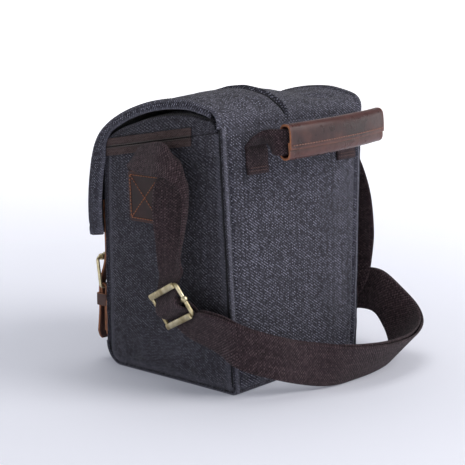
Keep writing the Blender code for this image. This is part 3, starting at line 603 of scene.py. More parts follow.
def sheet_mesh(grid, thickness, closed=False, uv=None, wear_and_highlight=None, edge=0, behind=None, is_open=None,
               bulge=0.3):
    """A sheet over grid[row][column] of points, its back a thickness behind and its rim bulging.

    closed joins the last column to the first, and is_open(row, column) leaves holes.
    """
    array = np.array([[tuple(p) for p in row] for row in grid], float)
    rows, columns = array.shape[:2]
    normal = np.cross(differences(array, 1, closed), differences(array, 0, False))
    normal /= np.maximum(np.linalg.norm(normal, axis=2, keepdims=True), 1e-9)
    if behind is None:
        behind = array - normal * thickness
    else:
        behind = np.array([[tuple(p) for p in row] for row in behind], float)
    if uv is None:
        uv = sheet_uv(array)
    uv = np.array(uv, float)
    mesh = bmesh.new()
    layer = mesh.loops.layers.uv.new("UVMap")
    worn = mesh.verts.layers.float.new("wear_and_highlight")
    spans = columns if closed else columns - 1
    sides = ((array, {}), (behind, {}))

    def corner(side, r, c):
        points, made = sides[side]
        c %= columns
        if (r, c) not in made:
            made[r, c] = mesh.verts.new(points[r, c])
            if wear_and_highlight is not None:
                made[r, c][worn] = float(wear_and_highlight[r][c])
        return made[r, c]

    def filled(r, c):
        if closed:
            c %= columns
        inside = 0 <= r < rows - 1 and 0 <= c < spans
        return inside and not (is_open is not None and is_open(r, c))

    def set_uv(face, places):
        for loop, (r, c, deep) in zip(face.loops, places):
            extra = deep * thickness
            loop[layer].uv = ((uv[r, c % columns, 0] + extra) * MM, (uv[r, c % columns, 1] + extra) * MM)

    middles = {}
    walls = []
    for r in range(rows - 1):
        for c in range(spans):
            if not filled(r, c):
                continue
            cells = [(r, c), (r, c + 1), (r + 1, c + 1), (r + 1, c)]
            set_uv(mesh.faces.new([corner(0, *cell) for cell in cells]), [(*cell, 0) for cell in cells])
            cells.reverse()
            set_uv(mesh.faces.new([corner(1, *cell) for cell in cells]), [(*cell, 0) for cell in cells])
            cells.reverse()
            for index, neighbour in enumerate([(r - 1, c), (r, c + 1), (r + 1, c), (r, c - 1)]):
                if filled(*neighbour):
                    continue
                first, second = cells[index], cells[(index + 1) % 4]
                inward = array[cells[(index + 2) % 4][0], cells[(index + 2) % 4][1] % columns]
                inward = inward - array[second[0], second[1] % columns]
                inward = inward / max(np.linalg.norm(inward), 1e-9)
                for r2, c2 in (first, second):
                    middles.setdefault((r2, c2 % columns), []).append(-inward)
                walls.append((first, second))
    bulging = {}
    for (r, c), outs in middles.items():
        out = sum(outs)
        out = out / max(np.linalg.norm(out), 1e-9)
        bulging[r, c] = mesh.verts.new((array[r, c] + behind[r, c]) / 2 + out * thickness * bulge)
        bulging[r, c][worn] = float(wear_and_highlight[r][c]) if wear_and_highlight is not None else 0.0
    for (r0, c0), (r1, c1) in walls:
        low, high = bulging[r0, c0 % columns], bulging[r1, c1 % columns]
        places = [(r0, c0, 0), (r0, c0, 0.5), (r1, c1, 0.5), (r1, c1, 0)]
        face = mesh.faces.new([corner(0, r0, c0), low, high, corner(0, r1, c1)])
        face.material_index = edge
        set_uv(face, places)
        face = mesh.faces.new([low, corner(1, r0, c0), corner(1, r1, c1), high])
        face.material_index = edge
        set_uv(face, places)
    bmesh.ops.recalc_face_normals(mesh, faces=mesh.faces)
    return mesh


def sheet(name, place, rows, columns, thickness, materials, body, replaced=(), flip=False, slot=None,
          wear_and_highlight=None, **more):
    """A sheet whose points come from place(u, v), both from 0 to 1; its wear mask, a function of (u, v), says
    where it is rubbed and, on the leather grip, also where a highlight is painted.
    """
    grid = []
    worn = []
    for r in range(rows):
        v = r / (rows - 1)
        shares = [c / (columns - 1) for c in range(columns)]
        if flip:
            shares.reverse()
        grid.append([place(u, v) for u in shares])
        worn.append([wear_and_highlight(u, v) if wear_and_highlight else 0.0 for u in shares])
    mesh = sheet_mesh(grid, thickness, wear_and_highlight=worn, **more)
    return finish_object(name, mesh, materials, body, replaced)


def tube_mesh(mesh, points, radius, sides=8, closed=False):
    """Sweep a circle along points; radius is a number or one for each point."""
    layer = mesh.loops.layers.uv.verify()
    count = len(points)
    rings = []
    guide = None
    lengths = path_lengths(points)
    for index, point in enumerate(points):
        before = points[(index - 1) % count] if closed or index else point
        after = points[(index + 1) % count] if closed or index < count - 1 else point
        along = (after - before).normalized()
        if guide is None:
            guide = along.orthogonal().normalized()
        guide = (guide - along * guide.dot(along)).normalized()
        across = along.cross(guide)
        size = radius[index] if isinstance(radius, (list, tuple)) else radius
        angles = [2 * math.pi * s / sides for s in range(sides)]
        spokes = [guide * math.cos(a) + across * math.sin(a) for a in angles]
        rings.append([mesh.verts.new(point + spoke * size) for spoke in spokes])
    spans = count if closed else count - 1
    for index in range(spans):
        here = rings[index]
        there = rings[(index + 1) % count]
        shift = 0
        if closed and index == count - 1:
            shift = min(range(sides), key=lambda s: (here[0].co - there[s].co).length)
        for step in range(sides):
            after = (step + 1) % sides
            beyond = [there[(after + shift) % sides], there[(step + shift) % sides]]
            face = mesh.faces.new([here[step], here[after]] + beyond)
            for loop, (s, i) in zip(face.loops, ((step, 0), (step + 1, 0), (step + 1, 1), (step, 1))):
                end = lengths[min(index + i, count - 1)]
                loop[layer].uv = (s * 1.2 * MM, end * MM)
    if not closed:
        mesh.faces.new(list(reversed(rings[0])))
        mesh.faces.new(rings[-1])


def tube(name, points, radius, materials, body, replaced=(), sides=12, closed=False):
    mesh = bmesh.new()
    tube_mesh(mesh, [Vector(p) for p in points], radius, sides, closed)
    bmesh.ops.recalc_face_normals(mesh, faces=mesh.faces)
    return finish_object(name, mesh, materials, body, replaced, 60)


def stitches(name, paths, material, body, pitch=3.2, length=2.3, radius=0.42, lift=0.15):
    """Rows of short threads; each path is its points with one outward direction, or a list of them."""
    mesh = bmesh.new()
    for points, normal in paths:
        lengths = path_lengths(points)
        place = pitch * 0.5
        while place < lengths[-1]:
            ends = []
            for goal in (place - length / 2, place, place + length / 2):
                goal = min(max(goal, 0.0), lengths[-1])
                index = 0
                while index < len(points) - 2 and lengths[index + 1] < goal:
                    index += 1
                share = (goal - lengths[index]) / max(lengths[index + 1] - lengths[index], 1e-9)
                out = (normal[index] if isinstance(normal, list) else normal).normalized()
                ends.append(points[index].lerp(points[index + 1], share) + out * lift)
            first, middle, last = ends
            if (last - first).length > length * 0.6:
                middle = middle + out * radius * 0.5
                line = [first - out * 0.4, first.lerp(middle, 0.4), middle, middle.lerp(last, 0.6)]
                line.append(last - out * 0.4)
                tube_mesh(mesh, line, [radius * 0.6, radius, radius * 1.1, radius, radius * 0.6], 5)
            place += pitch
    bmesh.ops.recalc_face_normals(mesh, faces=mesh.faces)
    return finish_object(name, mesh, [material], body, smooth=80)


def rounded_loop(centre, first_axis, second_axis, first_half, second_half, corner, steps=4, between=0):
    """Points of a rounded rectangle in the plane of two axes."""
    points = []
    for quarter in range(4):
        sign_a = 1 if quarter in (0, 3) else -1
        sign_b = 1 if quarter in (0, 1) else -1
        for step in range(steps + 1):
            angle = math.radians(90 * quarter + 90 * step / steps)
            a = sign_a * (first_half - corner) + corner * math.cos(angle)
            b = sign_b * (second_half - corner) + corner * math.sin(angle)
            points.append(centre + first_axis * a + second_axis * b)
    if not between:
        return points
    result = []
    for index, point in enumerate(points):
        result.append(point)
        if index % (steps + 1) == steps:
            after = points[(index + 1) % len(points)]
            result += [point.lerp(after, s / (between + 1)) for s in range(1, between + 1)]
    return result


def plate(name, outline, normal, thickness, materials, body, replaced=(), crown=0.3):
    """A flat convex piece from its outer outline, with a rounded edge in the second material.

    Each ring of profile is a share of the way to the centre, an inset, a height and how rubbed it is.
    """
    normal = Vector(normal).normalized()
    centre = sum((Vector(p) for p in outline), Vector()) / len(outline)
    mesh = bmesh.new()
    layer = mesh.loops.layers.uv.new("UVMap")
    worn = mesh.verts.layers.float.new("wear_and_highlight")
    rings = []
    profile = [(0.0, 0.6, -1.0, 0.0), (0.0, 0.15, -1.0, 0.3), (0.0, 0.0, -0.5, 1.0), (0.0, 0.15, 0.0, 0.7),
               (0.0, 0.8, 0.1, 0.25), (0.12, 0.8, 0.5, 0.0), (0.45, 0.0, 0.85, 0.0), (0.8, 0.0, 1.0, 0.0)]
    for share, inset, height, rubbed in profile:
        rise = thickness * min(height, 0.0) + crown * max(height, 0.0)
        ring = []
        for point in outline:
            point = Vector(point)
            toward = centre - point
            point = point + toward * share + toward.normalized() * inset + normal * rise
            vertex = mesh.verts.new(point)
            vertex[worn] = rubbed
            ring.append(vertex)
        rings.append(ring)
    count = len(outline)
    for index, (low, high) in enumerate(zip(rings, rings[1:])):
        for step in range(count):
            after = (step + 1) % count
            face = mesh.faces.new([low[step], low[after], high[after], high[step]])
            face.material_index = 1 if index < 3 else 0
    mesh.faces.new(list(reversed(rings[0])))
    mesh.faces.new(rings[-1])
    bmesh.ops.recalc_face_normals(mesh, faces=mesh.faces)
    first = normal.orthogonal().normalized()
    second = normal.cross(first)
    for face in mesh.faces:
        for loop in face.loops:
            loop[layer].uv = (loop.vert.co.dot(first) * MM, loop.vert.co.dot(second) * MM)
    return finish_object(name, mesh, materials, body, replaced, 40)


def wrinkle(x, y, z, scale, seed=0.0):
    return noise.noise(Vector((x, y, z)) * scale + Vector((seed, seed * 1.7, seed * 0.3)))


def bell(value, centre, width):
    return math.exp(-((value - centre) / width) ** 2)


def plateau(value, width):
    """A bell with a flat top, for the place that a sewn-on piece presses flat."""
    return math.exp(-(value / width) ** 4)


def smoothstep(low, high, value):
    t = min(max((value - low) / (high - low), 0.0), 1.0)
    return t * t * (3 - 2 * t)


# Body.

def back_depth(x, z):
    """How far the back panel's cloth stands out from its flat plane."""
    edge = half_width(z) - abs(x)
    crown = 1.6 * smoothstep(0, 45, edge) * smoothstep(0, 40, z) * smoothstep(0, 28, 222 - z)
    flange = 0.7 * smoothstep(6.2, 4.6, edge) - 1.3 * bell(edge, 6.8, 1.4)
    waves = 0.45 * wrinkle(x, 0, z * 0.35, 0.045, 3.0) + 0.22 * wrinkle(x, 0, z * 0.3, 0.12, 5.0)
    puckers = 0.3 * math.sin(z * 0.55 + 2.0 * wrinkle(0, 0, z, 0.05)) * bell(edge, 10.0, 5.0)
    low = 0.9 * math.sin(x * 0.16 + wrinkle(x, 0, 0, 0.03) * 3) * bell(z, 10.0, 9.0)
    sag = -1.0 * bell(z, 207.0, 7.0) * smoothstep(0, 20, edge)
    depth = crown + waves + puckers + low + sag + 0.35
    for side, _ in SIDES:
        depth *= 1.0 - 0.85 * plateau(x - HANDLE_X - side * HANDLE_LEG, 21.0) * plateau(z - 192.0, 19.0)
    return depth + flange


def side_depth(y, z, side):
    """How far a gusset's cloth stands out from its flat plane."""
    front = y - front_y(z)
    back = back_y(z) - y
    edge = min(front, back)
    top = rim_z(y) - z
    hollow = -1.7 * (1 - smoothstep(0.5, 6.0, edge))
    crown = 1.3 * smoothstep(0, 35, edge) * smoothstep(0, 30, z) * smoothstep(0, 25, top)
    waves = 0.55 * wrinkle(side * 40, y, z * 0.5, 0.05, 9.0)
    waves += 0.25 * wrinkle(side * 40, y, z * 0.5, 0.14, 2.0)
    fold = -1.2 * bell(top, 15.5 + 0.05 * y, 1.8) * smoothstep(20, 42, y)
    fold += 0.9 * bell(top, 12.0 + 0.05 * y, 2.2) * smoothstep(20, 42, y)
    pull = 0.8 * math.sin(z * 0.25 + y * 0.22) * bell(top, 26.0, 14.0) * smoothstep(15, 50, y)
    low = 0.6 * math.sin(y * 0.18 + wrinkle(0, y, 0, 0.04) * 3) * bell(z, 9.0, 8.0)
    patch = plateau(y + 15.0, 23.0) * plateau(z - 157.0, 25.0)
    under_zip = smoothstep(8.5, 6.0, top) * smoothstep(40.0, 34.0, y)
    depth = crown + hollow + waves + fold + pull + low
    return depth * (1 - 0.8 * patch) * (1 - under_zip) - 0.5 * under_zip


def front_depth(x, z):
    edge = half_width(z) - abs(x)
    crown = 0.9 * smoothstep(0, 40, edge) * smoothstep(16, 45, z) * smoothstep(0, 25, FRONT_HEIGHT - z)
    flange = 0.2 * smoothstep(6.2, 4.6, edge) - 0.9 * bell(edge, 6.8, 1.3)
    waves = 0.35 * wrinkle(x, 90, z * 0.4, 0.05, 4.0)
    depth = crown + waves - 0.2
    for side, _ in SIDES:
        depth *= 1.0 - plateau(x - side * BUCKLE_X, 14.0) * plateau(z - PATCH_Z, 20.0)
    zip_strip = smoothstep(9.0, 7.0, FRONT_HEIGHT - z)
    return depth * (1 - zip_strip) + flange * (1 - zip_strip) - 0.35 * zip_strip


def make_back():
    def place(u, v):
        z = CLOTH_START + (BACK_HEIGHT - CLOTH_START) * v
        x = (0.5 - u) * 2 * half_width(z)
        edge = half_width(z) - abs(x)
        return Vector((x, back_y(z) + back_depth(x, z) - 0.9 * smoothstep(1.6, 0.0, edge), z))

    def wear_and_highlight(u, v):
        z = CLOTH_START + (BACK_HEIGHT - CLOTH_START) * v
        edge = half_width(z) * 2 * min(u, 1 - u)
        return 0.5 * bell(edge, 2.0, 2.2) + 0.25 * bell(z, 3.0, 4.0) + 0.2 * bell(z, 217.0, 3.0)

    sheet("back_cloth", place, 150, 132, 1.9, ["canvas"], "body", ["back_panel"], slot="canvas", wear_and_highlight=wear_and_highlight)

    def on_back(x, z):
        return Vector((x, back_y(z) + back_depth(x, z), z))

    lines = []
    for side, _ in SIDES:
        path = []
        for step in range(100):
            z = 8.0 + 208.0 * step / 99
            path.append(on_back(side * (half_width(z) - 4.2), z))
        lines.append((path, Y_AXIS))
    lines.append(([on_back(x, 215.5) for x in range(-88, 89, 4)], Y_AXIS))
    stitches("back_stitching", lines, "thread_grey", "body", radius=0.36)


def side_point(side, y, z):
    return Vector((side * (half_width(z) + side_depth(y, z, side) - 0.1), y, z))


def make_sides():
    for side, label in SIDES:
        def place(u, v):
            guess = CLOTH_START + v * 208.0
            low = front_y(guess) + 0.4
            if guess < BASE_CORNER:
                low = CORNER_Y - math.sqrt(max(BASE_CORNER ** 2 - (BASE_CORNER - guess) ** 2, 0.0)) + 0.4
            y = low + (back_y(guess) - 1.2 - low) * u
            return side_point(side, y, CLOTH_START + v * (rim_z(y) - 0.4 - CLOTH_START))

        def wear_and_highlight(u, v):
            edge = min(u, 1 - u) * 145.0
            return 0.35 * bell(edge, 5.0, 2.5) + 0.3 * bell(v * 208.0, 3.0, 4.0)

        sheet("side_cloth_" + label, place, 150, 110, CLOTH, ["canvas_side"], "body", ["gusset_" + label],
              side < 0, "canvas", wear_and_highlight)


def make_front():
    def place(u, v):
        z = BASE_CORNER + (FRONT_HEIGHT - 0.6 - BASE_CORNER) * v
        x = (u - 0.5) * 2 * (half_width(z) - 0.3)
        return Vector((x, front_y(z) - front_depth(x, z), z))

    def wear_and_highlight(u, v):
        return 0.5 * bell(min(u, 1 - u) * 180.0, 2.0, 2.2)

    sheet("front_cloth", place, 90, 100, CLOTH, ["canvas"], "body", ["front_panel"], slot="canvas",
          wear_and_highlight=wear_and_highlight)


def make_base():
    """The base cloth, from the back edge along the floor and up round the front corner."""
    path = [Vector(p) for p in ((74.4, 2.6), (74.2, 1.2), (72.5, 0.35))]
    path += [Vector((72.5 - 129.5 * t / 30, 0.3 + 0.5 * math.sin(math.pi * t / 30))) for t in range(1, 30)]
    for step in range(13):
        angle = math.radians(90 * step / 12)
        path.append(Vector((CORNER_Y - 17.8 * math.sin(angle), BASE_CORNER - 17.8 * math.cos(angle))))
    path.append(Vector((-74.9, 19.0)))

    def place(u, v):
        y, z = path[round((1 - v) * (len(path) - 1))]
        x = (u - 0.5) * 2 * (half_width(z) + 0.3)
        edge = half_width(z) - abs(x)
        return Vector((x, y, max(z, 0.15) + 0.5 * smoothstep(2.0, 0.0, edge)))

    def wear_and_highlight(u, v):
        return 0.3 + 0.6 * bell(min(u, 1 - u) * 168.0, 1.5, 2.0)

    sheet("base_cloth", place, len(path), 90, 1.6, ["canvas"], "body", ["base_panel"], slot="canvas",
          wear_and_highlight=wear_and_highlight)


def body_edge_path(side):
    """The seam round one side: down the back corner, along the base and up the front corner."""
    points = []

    def add(out, width_z, y, z):
        points.append(Vector((side * (half_width(width_z) + out), y, z)))

    for step in range(80):
        z = 219.0 - 215.0 * step / 79
        add(0.15, z, back_y(z) - 0.3, z)
    add(0.3, 2, 72.8, 1.9)
    for step in range(50):
        add(0.3, 2, 71.0 - 128.0 * step / 49, 1.7)
    for step in range(1, 9):
        angle = math.radians(90 * step / 9)
        z = BASE_CORNER - 16.6 * math.cos(angle)
        add(0.3, z, CORNER_Y - 16.6 * math.sin(angle), z)
    for step in range(50):
        z = BASE_CORNER + 168.0 * step / 49
        add(0.1, z, front_y(z) + 0.9, z)
    return points


def make_seams():
    """Turned seams round both sides, in canvas darkened as painted shade, and a seam along the base, with
    near-black tubes of painted shadow in the grooves beside the back ones.
    """
    for side, label in SIDES:
        moved = []
        for point in body_edge_path(side):
            shift = 0.7 * wrinkle(point.x, point.y, point.z, 0.07, 6.0)
            moved.append(point + Vector((side * (0.1 + shift), 0.3 * shift, max(0.0, 1.6 - point.z) * 0.5)))
        radii = [0.9 + 0.2 * wrinkle(p.y, p.z, 0, 0.2, 8.0) for p in moved]
        tube("edge_seam_" + label, moved, radii, ["shaded_seam_cloth"], "body", sides=10)
        upright = [p for p in moved if p.y > 60.0 and p.z > 4.0]
        # Painted shadow: near-black tubes beside the back corner seams stand in for the shade in their
        # grooves.
        groove_shadow = [p + Vector((side * 0.55, -1.7 + 0.25 * math.sin(p.z * 0.3), 0)) for p in upright]
        tube("edge_groove_shadow_" + label, groove_shadow, 0.75, ["seam_shadow"], "body", sides=8)
        groove_shadow = [p + Vector((side * -2.2, 0.42, 0)) for p in upright]
        tube("back_groove_shadow_" + label, groove_shadow, 0.6, ["seam_shadow"], "body", sides=8)
    path = [Vector((84.2 - 168.4 * s / 60, 74.7 + 0.25 * math.sin(s * 0.9), 1.9)) for s in range(61)]
    tube("base_seam", path, 1.4, ["canvas_side"], "body", sides=10)


# Flap and lid.

def pleat_x(y):
    """Where the pleat runs across the top of the flap."""
    return 24.5 - 0.12 * (y - 20.0) - 0.0032 * (y - 20.0) ** 2


def flap_lift(x, y, z):
    """Cloth folds on the flap: the padded dome, a sag towards its left, and a pleat beside the middle."""
    edge = FLAP_HALF - abs(x)
    soft = smoothstep(0.0, 16.0, edge)
    top = smoothstep(-55.0, -15.0, y) * smoothstep(66.0, 52.0, y)
    dome = 5.6 * bell(x, 30.0, 46.0) * top * bell(y, 28.0, 44.0)
    sag = -5.0 * bell(x, -54.0, 28.0) * top
    beyond = pleat_x(y) - x
    pleat = smoothstep(-30.0, 40.0, y) * smoothstep(-40.0, -14.0, y)
    ridge = 3.4 * math.exp(-max(beyond, 0.0) / 12.0) * math.exp(min(beyond, 0.0) / 0.7)
    groove = -1.8 * bell(beyond, -1.6, 1.7)
    ripple = 0.9 * wrinkle(x * 0.7, y, z, 0.035, 1.0) + 0.45 * wrinkle(x, y, z, 0.09, 4.0)
    drop = 1.4 * wrinkle(x, 0, z * 0.3, 0.03, 7.0) * smoothstep(205.0, 170.0, z)
    creases = 0.8 * math.sin((x - 0.9 * y) * 0.13 + 1.0) * bell(x, 62.0, 22.0) * bell(y, 44.0, 18.0)
    creases += 0.9 * math.sin((x + 1.1 * y) * 0.16) * bell(x, -55.0, 26.0) * bell(y, 40.0, 20.0)
    border = 0.9 * smoothstep(7.5, 5.0, edge) * smoothstep(0.0, 1.5, edge) - 0.9 * bell(edge, 8.6, 1.3)
    return (dome + sag + creases + (ridge + groove) * pleat + ripple + drop) * soft + border


def outward(samples, index):
    along = (samples[min(index + 1, len(samples) - 1)] - samples[max(index - 1, 0)]).normalized()
    return Vector((0.0, along.y, -along.x))


def on_outline(samples, index, x, lift):
    """The point at x, a lift outside a sample of a (y, z) outline."""
    return Vector((x, samples[index].x, samples[index].y)) + outward(samples, index) * lift


def make_flap():
    rows = 170
    samples, total = smoothed(FLAP_OUTLINE, 6, rows)

    def place(u, v):
        r = round(v * (rows - 1))
        point = samples[r]
        x = (0.5 - u) * 2 * FLAP_HALF
        edge = FLAP_HALF - abs(x)
        start = v * total
        end = total - start
        lift = flap_lift(x, point.x, point.y) * smoothstep(0.0, 10.0, start)
        hem = 0.7 * smoothstep(7.5, 5.0, end) - 0.8 * bell(end, 8.6, 1.3)
        lift += hem * smoothstep(0, 2, edge) - 1.2 * smoothstep(2.0, 0.0, edge) ** 2
        return on_outline(samples, r, x, lift - 0.1)

    def wear_and_highlight(u, v):
        edge = min(u, 1 - u) * 2 * FLAP_HALF
        end = (1 - v) * total
        return 0.2 * bell(edge, 1.2, 1.6) + 0.15 * bell(v * total, 8.0, 6.0) + 0.3 * bell(end, 1.0, 2.0)

    cloth = sheet("flap_cloth", place, rows, 150, CLOTH, ["canvas"], "flap", ["flap_panel"], slot="canvas",
                  wear_and_highlight=wear_and_highlight)
    lines = []
    for side, _ in SIDES:
        u = 0.5 - side * (FLAP_HALF - 6.4) / (2 * FLAP_HALF)
        shares = [v / 90 for v in range(5, 90)]
        outs = [outward(samples, round(v * (rows - 1))) for v in shares]
        lines.append(([place(u, v) for v in shares], outs))
    v = 1 - 6.4 / total
    lines.append(([place(u / 60, v) for u in range(2, 59)], outward(samples, rows - 4)))
    stitches("flap_stitching", lines, "thread_grey", "flap", radius=0.36)
    make_flap_pleat_shadow(samples, total)
    make_flap_inside(samples)


def make_flap_pleat_shadow(samples, total):
    """A near-black tube of painted shadow at the foot of the pleat, from the back seam to where the pleat
    fades.
    """
    crease = []
    for index, point in enumerate(samples[4:]):
        if point.x < -24.0:
            break
        x = pleat_x(point.x) + 1.3
        lift = flap_lift(x, point.x, point.y)
        lift *= smoothstep(0.0, 10.0, (index + 4) * total / (len(samples) - 1))
        crease.append(on_outline(samples, index + 4, x, lift + 0.15))
    shares = [min((i + 1) / (len(crease) * 0.62), 1.0) for i in range(len(crease))]
    widths = [0.25 + 0.65 * math.sin(math.pi * share ** 0.6) for share in shares]
    tube("flap_pleat_shadow", crease, widths, ["seam_shadow"], "flap", sides=8)


def make_flap_inside(samples):
    rows = 60
    coarse, _ = smoothed(FLAP_OUTLINE, 6, rows)

    def lining(u, v):
        r = round(v * (rows - 1))
        point = inner[r]
        x = (u - 0.5) * 2 * 95.0
        wave = 0.35 * wrinkle(x, point.x, point.y, 0.05, 12.0)
        wave += max(0.0, -flap_lift(x, coarse[r].x, coarse[r].y))
        return Vector((x, point.x, point.y)) - outward(coarse, r) * (0.2 + wave)

    inner = offset_outline(coarse, 3.4)
    sheet("flap_inside", lining, rows, 70, 0.9, ["lining_uv"], "flap", ["flap_lining"], slot="lining")
    for side, label in SIDES:
        def band(u, v):
            r = 12 + round(v * (len(samples) - 13))
            point = samples[r]
            drop = min(max((215.0 - point.y) / 25.0, 0.0), 1.0)
            depth = 1.6 + u * (5.8 + 7.8 * drop)
            puff = 0.7 * math.sin(math.pi * u) + 0.25 * wrinkle(point.x, point.y, side * 9, 0.12, 3.0)
            out = outward(samples, r)
            return Vector((side * (97.0 + puff - 0.6 * u), point.x - out.y * depth, point.y - out.z * depth))

        sheet("flap_edge_" + label, band, 120, 12, 1.9, ["canvas"], "flap", ["flap_band_" + label],
              side > 0, "canvas", lambda u, v: 0.4 * bell(u, 1.0, 0.2), bulge=0.5)


def lid_top_z(y):
    places, heights = zip(*reversed(LID_OUTLINE))
    return float(np.interp(y, places, heights))


def lid_droop(edge, y):
    """The lid sinks towards its sides, most of all behind the middle."""
    return 3.0 * smoothstep(34.0, 0.0, edge) * smoothstep(-62.0, -20.0, y) * smoothstep(60.0, 50.0, y)


def make_lid():
    rows = 80
    samples, total = smoothed(LID_OUTLINE, 6, rows)

    def top(u, v):
        r = round(v * (rows - 1))
        point = samples[r]
        x = (0.5 - u) * 2 * LID_HALF
        edge = LID_HALF - abs(x)
        ends = min(v, 1 - v) * total
        lift = 0.5 * smoothstep(0, 14, edge) * smoothstep(0, 12, ends)
        ripple = 0.3 * wrinkle(x, point.x, point.y, 0.06, 2.0)
        lift += ripple * smoothstep(0, 14, edge) * smoothstep(0, 12, ends)
        lift -= 0.8 * smoothstep(2.0, 0.0, edge) + lid_droop(edge, point.x)
        lift -= 1.8 * bell(x, -54.0, 30.0) * bell(point.x, 10.0, 45.0)
        return on_outline(samples, r, x, lift - 0.2)

    sheet("lid_cloth", top, rows, 90, CLOTH, ["canvas"], "lid", ["lid_top"], slot="canvas")
    for side, label in SIDES:
        def wall(u, v):
            y = -63.5 + u * 124.0
            low = rim_z(y) + 0.5
            high = max(lid_top_z(y) - 1.8 - lid_droop(0.0, y), low + 0.6)
            z = low + (high - low) * v
            puff = 1.3 * math.sin(math.pi * v) ** 0.7 * smoothstep(0, 0.1, u) * smoothstep(1, 0.9, u)
            puff += 0.8 * wrinkle(side * 3, y, z * 0.6, 0.07, 5.0) * math.sin(math.pi * v)
            under_zip = smoothstep(9.0, 6.5, z - rim_z(y)) * smoothstep(38.0, 33.0, y)
            return Vector((side * (92.4 + puff * (1 - under_zip) - 0.3 * under_zip), y, z))

        sheet("lid_wall_" + label, wall, 26, 90, 1.7, ["canvas_side"], "lid", ["lid_side_" + label],
              side < 0, "canvas")
        path = []
        for index, point in enumerate(samples[3:-2]):
            out = outward(samples, index + 3)
            sunk = 1.0 + lid_droop(0.0, point.x)
            path.append(Vector((side * 92.6, point.x - sunk * out.y, point.y - sunk * out.z - 0.4)))
        tube("lid_seam_" + label, path, 1.2, ["canvas_side"], "lid", sides=8)


def make_lid_pad():
    """The quilted pad under the lid, covered in lining cloth, with two sewn channels."""
    curve = catmull([Vector(p) for p in LID_OUTLINE], 6)[9:58]
    rows = 60
    samples, total = resample(offset_outline(curve, 6.0), rows)
    half = 89.5

    def under(u, v):
        r = round(v * (rows - 1))
        point = samples[r]
        x = (u - 0.5) * 2 * half
        edge = min(half - abs(x), min(v, 1 - v) * total)
        crown = 1.1 * smoothstep(0.0, 16.0, edge) - 0.9 * bell(edge, 9.0, 1.5)
        crown -= 0.8 * smoothstep(2.5, 0.0, edge)
        crown -= 0.8 * (bell(x, 30.0, 1.5) + bell(x, -30.0, 1.5)) * smoothstep(8.0, 11.0, edge)
        crown += 0.35 * wrinkle(x, point.x, point.y, 0.06, 9.0) * smoothstep(0.0, 12.0, edge)
        return on_outline(samples, r, x, -crown)

    item = sheet("lid_pad", under, rows, 110, 3.2, ["lining_uv"], "lid", ["lid_padding"], slot="lining")
    lines = []
    for x in (-30.0, 30.0):
        u = x / (2 * half) + 0.5
        shares = [v / 60 for v in range(6, 55)]
        outs = [-outward(samples, round(v * (rows - 1))) for v in shares]
        lines.append(([under(u, v) for v in shares], outs))
    stitches("lid_pad_stitching", lines, "thread_grey", "lid", radius=0.36)


# Zip.

def zip_path(height):
    """Points along the zip, a height above the rim line, from the right side round the front to the left."""
    offset = 0.8
    corner = 1.5
    front = FRONT_RIM_Y - offset - 0.3
    plan = [(0.0, y) for y in range(36, -66, -3)] + [(0.0, front + corner)]
    for step in range(1, 4):
        angle = math.radians(30 * step)
        plan.append((corner * (1 - math.cos(angle)), front + corner * (1 - math.sin(angle))))
    points = []
    for side in (1, -1):
        for inward, y in plan if side > 0 else reversed(plan):
            z = rim_z(max(y, FRONT_RIM_Y)) + height
            points.append(Vector((side * (half_width(min(z, 205.0)) + offset - inward), y, z)))
        if side > 0:
            last = points[-1]
            points += [Vector((last.x * (1 - s / 16), last.y, last.z)) for s in range(1, 16)]
    return points


def make_zip():
    """Two ribbed tapes, each with a coil of teeth beside the gap, and the slider with its pull."""
    for sign, body, name in ((-1, "body", "lower"), (1, "lid", "upper")):
        heights = [sign * (0.35 + 7.1 * step / 8) for step in range(9)]
        if sign < 0:
            heights.reverse()
        ribs = [0.0, 0.35, 0.0, 0.0, 0.3, 0.0, 0.0, 0.35, 0.0]
        lines = [zip_path(height) for height in heights]
        grid = []
        for index in range(len(lines[0])):
            row = []
            for c, line in enumerate(lines):
                before = line[max(index - 1, 0)]
                after = line[min(index + 1, len(line) - 1)]
                out = (after - before).cross(Z_AXIS).normalized()
                if out.dot(Vector((line[index].x, line[index].y - 20, 0))) < 0:
                    out = -out
                sway = 0.35 * wrinkle(line[index].x, line[index].y, 0, 0.05, 8.0)
                rise = Vector((0, 0, sway * bell(abs(heights[c]), 7.4, 2.0)))
                row.append(line[index] + out * (0.5 + ribs[c]) + rise)
            grid.append(row)
        mesh = sheet_mesh(grid, 1.0)
        finish_object("zip_cloth_" + name, mesh, ["tape"], body, ["zip_tape_" + name])
        line = [p + Vector((math.copysign(0.35, p.x), 0, 0)) for p in zip_path(sign * 0.95)]
        teeth, _ = resample(line, 560)
        radii = [0.75 + 0.22 * math.cos(i * math.pi * 2 / 3.0) for i in range(len(teeth))]
        tube("zip_teeth_" + name, teeth, radii, ["zip_coil"], body, sides=6)
    make_slider()


